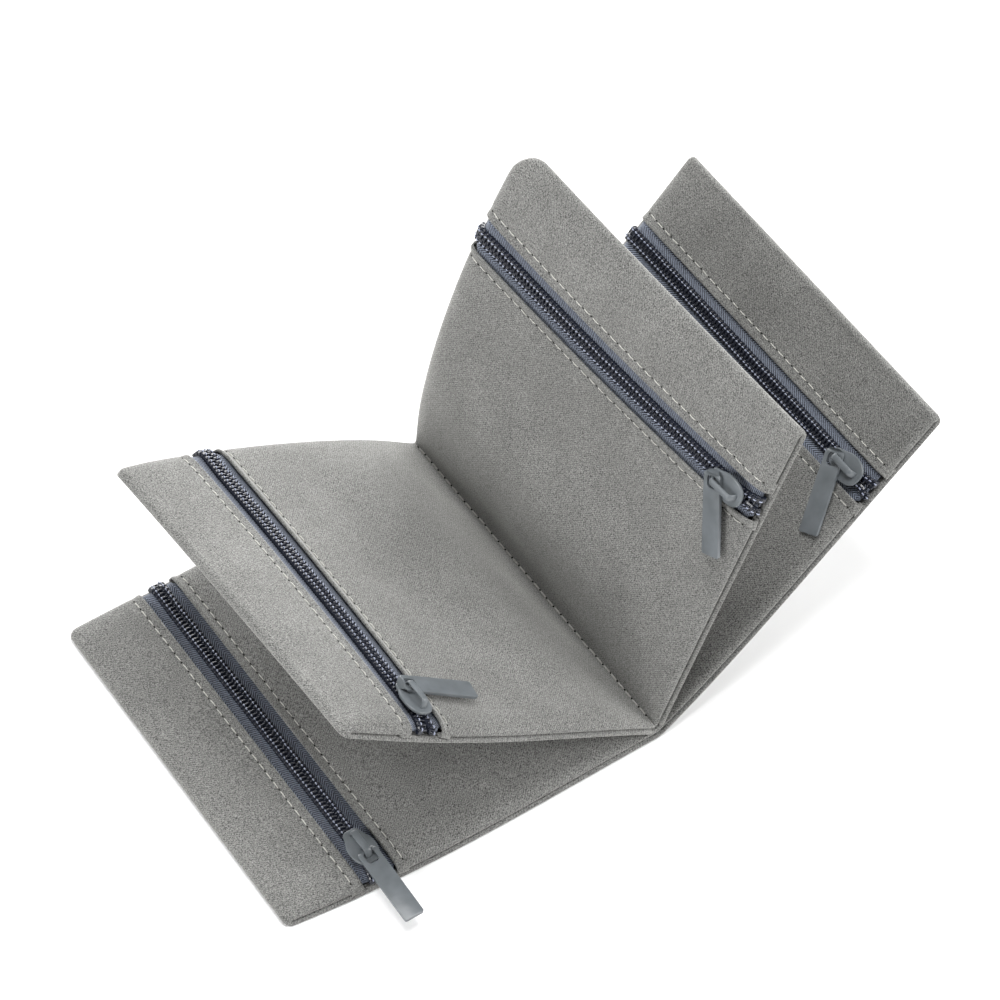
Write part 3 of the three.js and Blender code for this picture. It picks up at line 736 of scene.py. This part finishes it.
def core_cord_and_gap_shade(leaf, side, way):
    """The cord inside one half of the coil: a flat bar with a crowned top. Its dark nylon fills the gaps
    between the turns as painted shade.
    """
    run = np.linspace(CHAIN_START, CHAIN_END, 90)[:, None]
    crown_rise = CORD_RISE + 0.2
    loop = np.array([(0.1, CORD_FLOOR), (0.1, CORD_RISE), (0.6, crown_rise), (1.7, crown_rise),
                     (2.1, CORD_RISE - 0.1), (2.1, CORD_FLOOR)])
    is_top = loop[:, 1] > CORD_FLOOR
    swell = CORD_SWELL * np.clip((run - FAR_ROLL[0] + SWELL_LEAD) / SWELL_RUN, 0, 1) * is_top
    u = zip_line(leaf) + way * (loop[:, 0] + parting(run))
    points = chain_points(leaf, u, run, loop[:, 1] + swell)
    cord = add_object(f"{leaf['name']}_cord_{side}", points, capped_faces(len(run), len(loop)))
    face_out(cord)
    return cord


def make_coil(leaf, side, way):
    """One half of the coil: a wire that crosses the top square to the zip and slants back underneath."""
    first = coil_first(way)
    turns = coil_turns(first)
    step = np.arange(turns * COIL_STEPS + 1)
    angle = 2 * np.pi * step / COIL_STEPS
    part = (step % COIL_STEPS) / COIL_STEPS
    advance = np.clip((part - 0.5) * 2, 0, 1)
    run = first + COIL_PITCH * (step // COIL_STEPS + advance)
    low, high = COIL_REACH[way]
    reach = (high - low) / 2 - COIL_WIRE
    rise = (COIL_RISE[1] - COIL_RISE[0]) / 2 - COIL_WIRE
    squared = 0.6
    swing = np.sign(np.cos(angle)) * np.abs(np.cos(angle)) ** squared
    lift = np.sign(np.sin(angle)) * np.abs(np.sin(angle)) ** squared
    across = (low + high) / 2 + parting(run) + reach * swing
    up = (COIL_RISE[0] + COIL_RISE[1]) / 2 + rise * lift
    line = chain_points(leaf, zip_line(leaf) + way * across, run, up)
    coil = tube(f"{leaf['name']}_coil_{side}", line, COIL_WIRE * MM, COIL_SIDES)
    # The core cord, dark as the coil, shows as painted shade between the turns.
    cord = core_cord_and_gap_shade(leaf, side, way)
    pick(coil)
    cord.select_set(True)
    bpy.ops.object.join()
    dress(coil, NYLON, "nylon_coil", leaf["name"] + "_leaf", f"{leaf['name']}_zip_coil_{side}")


# Stitches

STITCH_STATIONS = np.linspace(-1, 1, 7)
STITCH_SIDES = 6
STITCH_RADIUS = 0.16
STITCH_FILL = 0.86  # a stitch's share of the pitch
STITCH_RISE = 0.14  # how far a stitch's middle stands off the cloth
STITCH_DIVE = 0.4  # how far its ends go down from there
STITCH_DRIFT = 0.05  # spread of the stitches' places
STITCH_TILT = 0.02  # and of their slants
HOLE_SIZE = (0.34, 0.26, 0.12)
HOLE_SIDES = 8
TOP_ROW = (2.2, LEAF_LENGTH - 2.2)  # ends of a row along a hem
SPINE_ROW = (4.0, LEAF_LENGTH - 2.5)  # and of a row along the spine
SPINE_PITCH = 3.4
ZIP_THREAD_PLACE = 1.3  # from the zip line
ZIP_THREAD_SINK = 0.08  # into the top of the coil
ZIP_THREAD_RADIUS = 0.19
ZIP_THREAD_FILL = 0.56
SEAM_INSET = 1.0  # of the seam thread, from the side
SEAM_ENDS = (1.0, 1.5)  # where it starts by the spine, and how far it stops short of the outer corner
SEAM_STEP = 0.5
SEAM_WAVE = (0.12, 0.1)  # how far it weaves along and up
SEAM_RADIUS = 0.22


def stitch_shape(length, radius):
    """One stitch, along by across by up: a short thread that bellies up and dives in at both ends."""
    station = STITCH_STATIONS[:, None]
    around = 2 * np.pi * np.arange(STITCH_SIDES)[None, :] / STITCH_SIDES
    thick = radius * (1 - 0.75 * station ** 6)
    up = STITCH_RISE - STITCH_DIVE * station ** 4 + thick * 0.85 * np.sin(around)
    shape = np.stack(np.broadcast_arrays(station * length / 2, thick * np.cos(around), up), -1)
    return shape.reshape(-1, 3), capped_faces(len(STITCH_STATIONS), STITCH_SIDES)


def hole_shape():
    """One needle hole: a flat dark bead of painted shade in the dip between two stitches."""
    around = 2 * np.pi * np.arange(HOLE_SIDES) / HOLE_SIDES
    rim = np.stack([HOLE_SIZE[0] * np.cos(around), HOLE_SIZE[1] * np.sin(around), np.zeros(HOLE_SIDES)], -1)
    shape = np.vstack([rim * 0.6 - (0, 0, HOLE_SIZE[2]), rim, rim * 0.55 + (0, 0, HOLE_SIZE[2])])
    return shape, capped_faces(3, HOLE_SIDES)


def stitch_row(name, place, ends, pitch=STITCH_PITCH, radius=STITCH_RADIUS, fill=STITCH_FILL, thread=THREAD,
               holes=True):
    """A row of stitches between two ends along. place(along, across, up) puts a point on the cloth.

    Between the stitches lie needle holes, flat beads of painted shade, if holes is set.
    """
    first, last = ends
    count = round((last - first) / pitch)
    pitch = (last - first) / count
    # Each kind has its shape, its faces, its place in the pitch and its material
    stitch = (*stitch_shape(pitch * fill, radius), 0.5, 0)
    hole = (*hole_shape(), 0.0, 1)
    points, faces, marks = [], [], []
    total = 0
    for i in range(count + (1 if holes else 0)):
        kinds = [stitch] if i < count else []
        kinds += [hole] if holes else []
        drift = rng.normal(0, STITCH_DRIFT, 2)
        tilt = rng.normal(0, STITCH_TILT)
        for shape, corners, offset, mark in kinds:
            middle = first + pitch * (i + offset) + drift[0]
            along = middle + shape[:, 0]
            across = shape[:, 1] + drift[1] + tilt * shape[:, 0]
            points.append(place(along, across, shape[:, 2]))
            faces += [tuple(total + k for k in corner) for corner in corners]
            marks += [mark] * len(corners)
            total += len(shape)
    obj = add_object(name, np.vstack(points), faces)
    obj.data.materials.append(thread)
    # The second material is the painted shade of the needle holes.
    obj.data.materials.append(NEEDLE_HOLE_SHADE)
    obj.data.polygons.foreach_set("material_index", marks)
    face_out(obj)
    smooth(obj)
    return obj


def make_top_stitch(leaf, side, u):
    """The row of stitches along one hem."""
    def place(along, across, up):
        return leaf_points(leaf, u + across, along, front(leaf, u + across, along) + up)

    obj = stitch_row(f"{leaf['name']}_stitches_{side}", place, TOP_ROW)
    dress(obj, None, "thread", leaf["name"] + "_leaf", f"{leaf['name']}_top_stitch_{side}")


def make_zip_thread(leaf, side, way):
    """The thread that sews one half of the coil to its tape: a short bar over every turn."""
    def place(run, across, up):
        u = zip_line(leaf) + way * (ZIP_THREAD_PLACE + parting(run)) + across
        return chain_points(leaf, u, run, COIL_RISE[1] + up - ZIP_THREAD_SINK)

    first = coil_first(way) - COIL_PITCH / 2
    ends = (first, first + coil_turns(first) * COIL_PITCH)
    obj = stitch_row(f"{leaf['name']}_zip_thread_{side}", place, ends, pitch=COIL_PITCH,
                     radius=ZIP_THREAD_RADIUS, fill=ZIP_THREAD_FILL, thread=ZIP_THREAD, holes=False)
    dress(obj, None, "thread", leaf["name"] + "_leaf")


def make_seam(leaf, end, s):
    """The thread of a side seam, down in the groove between the front and the back, coloured near black as
    painted shade of that groove.
    """
    corner = leaf["corner"][end == "far"]
    u = np.arange(SEAM_ENDS[0], leaf["width"] - SEAM_ENDS[1] - corner, SEAM_STEP)
    turn = 2 * np.pi * u / STITCH_PITCH
    line = leaf_points(leaf, u, s + SEAM_WAVE[0] * np.sin(turn), GROOVE + SEAM_WAVE[1] * np.cos(turn))
    obj = tube(f"{leaf['name']}_seam_{end}", line, SEAM_RADIUS * MM, STITCH_SIDES)
    dress(obj, SEAM_THREAD_GROOVE_SHADE, "thread", leaf["name"] + "_leaf", f"{leaf['name']}_seam_thread_{end}")


# Sliders and their tabs


def zip_seat(leaf):
    """Where the slider sits: Y along the chain to the far side, Z out of the cloth's front."""
    line, middle = zip_line(leaf), LEAF_LENGTH / 2
    near, far = leaf_points(leaf, line, [0, LEAF_LENGTH], LEAF_THICK)
    chain = Vector(far - near).normalized()
    out = Vector(leaf_points(leaf, line, middle, LEAF_THICK) - leaf_points(leaf, line, middle, 0))
    side = chain.cross(out).normalized()
    seat = leaf_points(leaf, line, SLIDER_NOSE_INSET + SLIDER_LENGTH / 2, LEAF_THICK)
    basis = Matrix((side, chain, side.cross(chain))).transposed().to_4x4()
    return Matrix.Translation(Vector(seat)) @ basis @ Matrix.Scale(MM, 4)


def plate_outline(count=44):
    """Outline of a slider plate, nose towards -Y: a round nose, full shoulders and a narrow tail."""
    turn = np.linspace(0, 2 * np.pi, count, endpoint=False)
    y = SLIDER_LENGTH / 2 * np.sign(np.sin(turn)) * np.abs(np.sin(turn)) ** 0.8
    waist = 1 / (1 + np.exp((y - PLATE_WAIST[0]) / PLATE_WAIST[1]))
    width = SLIDER_TAIL_WIDTH + (SLIDER_NOSE_WIDTH - SLIDER_TAIL_WIDTH) * waist
    squareness = np.where(y > 0, 0.35, 0.75)
    x = width / 2 * np.sign(np.cos(turn)) * np.abs(np.cos(turn)) ** squareness
    return x, y


def slider_plate(low):
    """One plate of the slider: an outline filled, thickened, hollowed between its rails and rounded."""
    bpy.ops.object.select_all(action="DESELECT")
    x, y = plate_outline()
    bpy.ops.mesh.primitive_circle_add(vertices=len(x), radius=1, fill_type="NGON", location=(0, 0, 0))
    plate = bpy.context.object
    for vertex, px, py in zip(plate.data.vertices, x, y):
        vertex.co = (px, py, low + PLATE_THICK)
    bpy.ops.object.mode_set(mode="EDIT")
    bpy.ops.mesh.select_all(action="SELECT")
    bpy.ops.mesh.extrude_region_move(TRANSFORM_OT_translate={"value": (0, 0, -PLATE_THICK)})
    bpy.ops.mesh.inset(thickness=PLATE_RAIL, depth=0.0)
    bpy.ops.transform.translate(value=(0, 0, PLATE_HOLLOW))
    bpy.ops.object.mode_set(mode="OBJECT")
    face_out(plate)
    apply_modifier(plate, "BEVEL", width=PLATE_ROUND, segments=3, limit_method="ANGLE",
                   angle_limit=math.radians(40))
    return plate


def slider_bridge():
    """The arch that the pull tab hangs on: an oval bar that rises from the plate at both ends."""
    bpy.ops.object.select_all(action="DESELECT")
    bpy.ops.curve.primitive_bezier_circle_add(radius=1)
    section = bpy.context.object
    section.scale = (BRIDGE_WIDTH / 2, BRIDGE_BEAM / 2, 1)
    bpy.ops.object.transform_apply(scale=True)
    top = PLATE_LOW + PLATE_THICK + ARCH_HEIGHT + BRIDGE_BEAM / 2
    foot = PLATE_LOW + PLATE_THICK / 2
    bpy.ops.object.select_all(action="DESELECT")
    bpy.ops.curve.primitive_bezier_curve_add()
    arch = bpy.context.object
    spline = arch.data.splines[0]
    spline.bezier_points.add(2)
    shoulder = LEG_PLACE - LEG_LEAN
    leg_handle, beam_handle = 0.9, 0.7
    stations = [(-LEG_PLACE, foot, 0, leg_handle), (-shoulder, top, beam_handle, 0),
                (shoulder, top, beam_handle, 0), (LEG_PLACE, foot, 0, -leg_handle)]
    for point, (y, z, along, up) in zip(spline.bezier_points, stations):
        point.handle_left_type = point.handle_right_type = "FREE"
        point.co = (0, y, z)
        point.handle_left = (0, y - along, z - up)
        point.handle_right = (0, y + along, z + up)
    arch.data.dimensions = "3D"
    arch.data.bevel_mode = "OBJECT"
    arch.data.bevel_object = section
    arch.data.use_fill_caps = True
    pick(arch)
    bpy.ops.object.convert(target="MESH")
    bridge = bpy.context.object
    bpy.data.objects.remove(section)
    face_out(bridge)
    return bridge


def slider_neck():
    """The wedge inside the slider that joins its plates and parts the chain."""
    bpy.ops.object.select_all(action="DESELECT")
    low, high = LOWER_PLATE + PLATE_THICK / 2, PLATE_LOW + PLATE_THICK / 2
    bpy.ops.mesh.primitive_cube_add(size=1, location=(0, NECK_PLACE, (low + high) / 2),
                                    scale=(*NECK_SIZE, high - low))
    neck = bpy.context.object
    bpy.ops.object.transform_apply(location=True, scale=True)
    apply_modifier(neck, "BEVEL", width=NECK_ROUND, segments=2)
    return neck


def model_slider():
    """One slider around the origin, in millimetres."""
    pieces = [slider_plate(PLATE_LOW), slider_plate(LOWER_PLATE), slider_bridge(), slider_neck()]
    bpy.ops.object.select_all(action="DESELECT")
    for piece in pieces:
        piece.select_set(True)
    bpy.context.view_layer.objects.active = pieces[0]
    bpy.ops.object.join()
    smooth(pieces[0], 35)
    return pieces[0]


def model_tab():
    """One pull tab in millimetres: its hole lies round the origin and its tip points to +X."""
    head = -TAB_HOLE[0] / 2 - TAB_END_BAR
    bpy.ops.object.select_all(action="DESELECT")
    bpy.ops.mesh.primitive_cube_add(size=1, location=(head + TAB_LENGTH / 2, 0, 0),
                                    scale=(TAB_LENGTH, TAB_WIDTH, TAB_THICK))
    tab = bpy.context.object
    bpy.ops.object.transform_apply(location=True, scale=True)
    for end, radius, segments in ((head, TAB_HEAD_ROUND, 8), (head + TAB_LENGTH, TAB_TIP_ROUND, 4)):
        bpy.ops.object.mode_set(mode="EDIT")
        bpy.ops.mesh.select_all(action="DESELECT")
        bpy.ops.object.mode_set(mode="OBJECT")
        for edge in tab.data.edges:
            a, b = (tab.data.vertices[i].co for i in edge.vertices)
            edge.select = abs(a.x - end) < 1e-4 and abs(b.x - end) < 1e-4 and abs(a.z - b.z) > 0.5
        bpy.ops.object.mode_set(mode="EDIT")
        bpy.ops.mesh.select_mode(type="EDGE")
        bpy.ops.mesh.bevel(offset=radius, segments=segments)
        bpy.ops.object.mode_set(mode="OBJECT")
    bpy.ops.object.select_all(action="DESELECT")
    bpy.ops.mesh.primitive_cube_add(size=1, location=(0, 0, 0), scale=(*TAB_HOLE, 3 * TAB_THICK))
    cutter = bpy.context.object
    bpy.ops.object.transform_apply(location=True, scale=True)
    apply_modifier(cutter, "BEVEL", width=TAB_HOLE_ROUND, segments=4)
    apply_modifier(tab, "BOOLEAN", operation="DIFFERENCE", object=cutter, solver="EXACT")
    bpy.data.objects.remove(cutter)
    step_at = TAB_HOLE[0] / 2 + TAB_STEP[0]
    for place in (step_at, step_at + TAB_STEP[1]):
        pick(tab)
        bpy.ops.object.mode_set(mode="EDIT")
        bpy.ops.mesh.select_all(action="SELECT")
        bpy.ops.mesh.bisect(plane_co=(place, 0, 0), plane_no=(1, 0, 0))
        bpy.ops.object.mode_set(mode="OBJECT")
    for vertex in tab.data.vertices:
        if vertex.co.x < step_at + 0.1:
            vertex.co.z *= TAB_THIN
    face_out(tab)
    apply_modifier(tab, "BEVEL", width=TAB_EDGE_ROUND, segments=2, limit_method="ANGLE",
                   angle_limit=math.radians(38))
    smooth(tab, 40)
    return tab


def copy_to(model, name, matrix):
    """A copy of a modelled piece with its own mesh, put in its place."""
    mesh = model.data.copy()
    mesh.transform(matrix)
    obj = bpy.data.objects.new(name, mesh)
    bpy.context.scene.collection.objects.link(obj)
    return obj


def make_slider(leaf, slider, tab):
    """The slider of a leaf and the pull tab on its bridge, with the tip lowered onto the cloth."""
    seat = zip_seat(leaf)
    name = leaf["name"]
    dress(copy_to(slider, name + "_slider", seat), ZINC, "painted_zinc", name + "_zip", name + "_zip_slider")
    leg, turn = leaf["tab"]
    height = PLATE_LOW + PLATE_THICK + ARCH_HEIGHT / 2
    reach = TAB_LENGTH - TAB_HOLE[0] / 2 - TAB_END_BAR
    lower = math.asin((height - TAB_THICK / 2 - TIP_CLEAR) / reach)
    swivel = math.radians(-turn if leaf["left"] else HALF_TURN + turn)
    place = Matrix.Translation((0, -LEG_PLACE if leg == "nose" else LEG_PLACE, height))
    place = place @ Matrix.Rotation(swivel, 4, "Z") @ Matrix.Rotation(lower, 4, "Y")
    place = place @ Matrix.Translation((TAB_PULL, 0, 0))
    dress(copy_to(tab, name + "_tab", seat @ place), ZINC, "painted_zinc", name + "_pull", name + "_pull_tab")


# Spine

WRAP_STEPS = 14
WRAP_ROW_STEP = 6  # it keeps every sixth row of the leaves' cloth between its seams
WRAP_FRONT = 0.06  # from the spine's axis to the front of the inner cloth round it
VALLEY_ROW = (112.0, 0.3)  # angle and radius of the stitches in the valley, about the axis
BACK_ROW = (-72.0, OUTER_BACK - 0.1)  # and of those underneath


def make_wrap(name, first, last, radii):
    """Cloth that goes round the spine between two leaves: a fan about the spine's axis, with its side seams.

    First and last give the angles about the axis at the near and the far side. Radii are the front's and the
    back's.
    """
    s, share = cloth_rows()
    far_roll = len(s) - len(ROLL)
    keep = np.concatenate([np.arange(len(ROLL)), np.arange(len(ROLL), far_roll, WRAP_ROW_STEP),
                           np.arange(far_roll, len(s))])
    s, share = s[keep], share[keep]
    seam = radii[1] - GROOVE
    front_side = np.stack([s, seam + (radii[0] - seam) * share], -1)
    back_side = np.stack([s, seam + (radii[1] - seam) * share], -1)[::-1]
    loop = np.vstack([front_side, back_side[1:-1]])
    t = np.clip(loop[:, 0] / LEAF_LENGTH, 0, 1)
    loop[:, 0] -= seam_lip(loop[:, 0], radii[1] - loop[:, 1])
    turn = np.linspace(0, 1, WRAP_STEPS + 1)[:, None]
    start = np.radians(first[0] * (1 - t) + first[1] * t)
    stop = np.radians(last[0] * (1 - t) + last[1] * t)
    angle = start + (stop - start) * turn
    radius = loop[None, :, 1]
    points = np.stack([radius * np.cos(angle), np.broadcast_to(loop[:, 0] - LEAF_LENGTH / 2, angle.shape),
                       radius * np.sin(angle)], -1)
    points = (points + SPINE) * MM
    arc = radii[1] * np.abs(angle - start)
    uvs = np.stack([arc, np.broadcast_to(loop[:, 0], arc.shape)], -1)
    obj = add_object(name, points, capped_faces(WRAP_STEPS + 1, len(loop)), uvs)
    face_out(obj)
    smooth(obj)
    dress(obj, VELVET, "velvet", None)
    middle = math.radians(sum(first) / 2), math.radians(sum(last) / 2)
    ends = [Vector((SPINE + radii[1] * np.array([math.cos(a), 0, math.sin(a)])) * MM) for a in middle]
    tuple(ends[0])
    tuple(ends[1])
    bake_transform(obj)


def make_spine():
    """The cloth round the spine, and the two rows of stitches that hold all four leaves."""
    leaf = {entry["name"]: entry for entry in LEAVES}
    down = (-QUARTER_TURN, -QUARTER_TURN)

    def root_angle(name, side):
        turn = QUARTER_TURN if leaf[name]["left"] else -QUARTER_TURN
        return (leaf[name][side][0] + turn + HALF_TURN) % (2 * HALF_TURN) - HALF_TURN

    inner = (WRAP_FRONT, INNER_BACK)
    outer = (OUTER_BACK - SEWN_THICK, OUTER_BACK)
    for name, upper, radii in (("outer_spine_wrap", "outer_right", outer),
                               ("inner_spine_wrap_right", "inner_right", inner),
                               ("inner_spine_wrap_left", "inner_left", inner)):
        root = (root_angle(upper, "near"), root_angle(upper, "far"))
        make_wrap(name, down, root, radii)

    def row(name, node, angle, radius):
        out = np.array([math.cos(math.radians(angle)), 0, math.sin(math.radians(angle))])
        side = np.array([-out[2], 0, out[0]])

        def place(along, across, up):
            base = SPINE + np.array([0, -LEAF_LENGTH / 2, 0])
            return (base + along[:, None] * np.array([0, 1.0, 0]) + across[:, None] * side
                    + (radius + up)[:, None] * out) * MM

        obj = stitch_row(name, place, SPINE_ROW, pitch=SPINE_PITCH)
        dress(obj, None, "thread", "outer_left_leaf", node)

    row("valley_stitches", "spine_stitch_valley", *VALLEY_ROW)
    row("back_stitches", "spine_stitch_back", *BACK_ROW)


# Studio

CAMERA_AZIMUTH = -33.846
CAMERA_ELEVATION = 51.697
CAMERA_DISTANCE = 1163.9  # mm, from the aim point
CAMERA_AIM = (-8.713, 25.911)  # mm to the right and up from the spine's middle, in the picture plane
FOCAL_PIXELS = 4147.1
FRAME_PIXELS = 1000
SENSOR = 36.0
FLOOR_SIZE = 6.0  # in metres, as are the lamps' places and sizes
FLOOR_DROP = 0.0002
WORLD_STRENGTH = 0.15
SOFTBOXES = [  # name, place, size and power in watts
    ("key", (0.0, 0.01, 1.2), (0.6, 0.6), 11.8),
    ("back_right", (0.892, 0.748, 0.29), (0.6, 0.56), 12.8),
    ("back", (0.202, 1.147, 0.29), (0.6, 0.56), 10.9),
    ("left", (-1.06, 0.0, 0.563), (0.6, 0.6), 10.4),
    ("front_right", (0.749, -0.749, 0.563), (0.6, 0.6), 10.5),
]


def make_camera():
    """The camera at the photograph's viewing angle."""
    a, e = math.radians(CAMERA_AZIMUTH), math.radians(CAMERA_ELEVATION)
    back = Vector((math.sin(a) * math.cos(e), -math.cos(a) * math.cos(e), math.sin(e)))
    right = Vector((math.cos(a), math.sin(a), 0))
    up = back.cross(right)
    data = bpy.data.cameras.new("camera")
    data.sensor_width = SENSOR
    data.lens = SENSOR * FOCAL_PIXELS / FRAME_PIXELS
    data.clip_end = 10.0
    camera = bpy.data.objects.new("camera", data)
    bpy.context.scene.collection.objects.link(camera)
    table = Vector((SPINE[0], SPINE[1], 0))
    aim = table + right * CAMERA_AIM[0] + up * CAMERA_AIM[1]
    camera.location = (aim + back * CAMERA_DISTANCE) * MM
    camera.rotation_mode = "QUATERNION"
    camera.rotation_quaternion = (-back).to_track_quat("-Z", "Y")
    bpy.context.scene.camera = camera


def make_floor():
    """A white sheet under the bag."""
    bpy.ops.object.select_all(action="DESELECT")
    bpy.ops.mesh.primitive_plane_add(size=FLOOR_SIZE, location=(0, 0, -FLOOR_DROP))
    floor = bpy.context.object
    floor.name = "floor"
    material = new_material("white_paper_floor", Roughness=0.9, Specular_IOR_Level=0.1,
                            Base_Color=srgb("#fcfcfc"))[0]
    floor.data.materials.append(material)


def add_softbox(name, place, size, power):
    """A rectangular lamp that faces the origin."""
    data = bpy.data.lights.new(name, "AREA")
    data.shape = "RECTANGLE"
    data.size, data.size_y = size
    data.energy = power
    lamp = bpy.data.objects.new(name, data)
    bpy.context.scene.collection.objects.link(lamp)
    lamp.location = place
    lamp.rotation_mode = "QUATERNION"
    lamp.rotation_quaternion = Vector(place).to_track_quat("Z", "Y")


def make_lights():
    """White surroundings and the softboxes."""
    world = bpy.data.worlds.new("studio")
    bpy.context.scene.world = world
    world.use_nodes = True
    background = world.node_tree.nodes["Background"]
    background.inputs["Color"].default_value = (1, 1, 1, 1)
    background.inputs["Strength"].default_value = WORLD_STRENGTH
    for name, place, size, power in SOFTBOXES:
        add_softbox(name, place, size, power)
    bpy.context.scene.view_settings.view_transform = "Standard"


make_camera()
make_floor()
make_lights()
slider_model = model_slider()
tab_model = model_tab()
for leaf in LEAVES:
    make_back(leaf)
    make_front(leaf)
    for side, way in (("outer", 1), ("inner", -1)):
        make_tape(leaf, side, way)
        make_coil(leaf, side, way)
        make_zip_thread(leaf, side, way)
    make_top_stitch(leaf, "outer", band_hem(leaf) + STITCH_INSET)
    make_top_stitch(leaf, "inner", panel_hem(leaf) - STITCH_INSET)
    make_seam(leaf, "near", SEAM_INSET)
    make_seam(leaf, "far", LEAF_LENGTH - SEAM_INSET)
    make_slider(leaf, slider_model, tab_model)
make_spine()
bpy.data.objects.remove(slider_model)
bpy.data.objects.remove(tab_model)
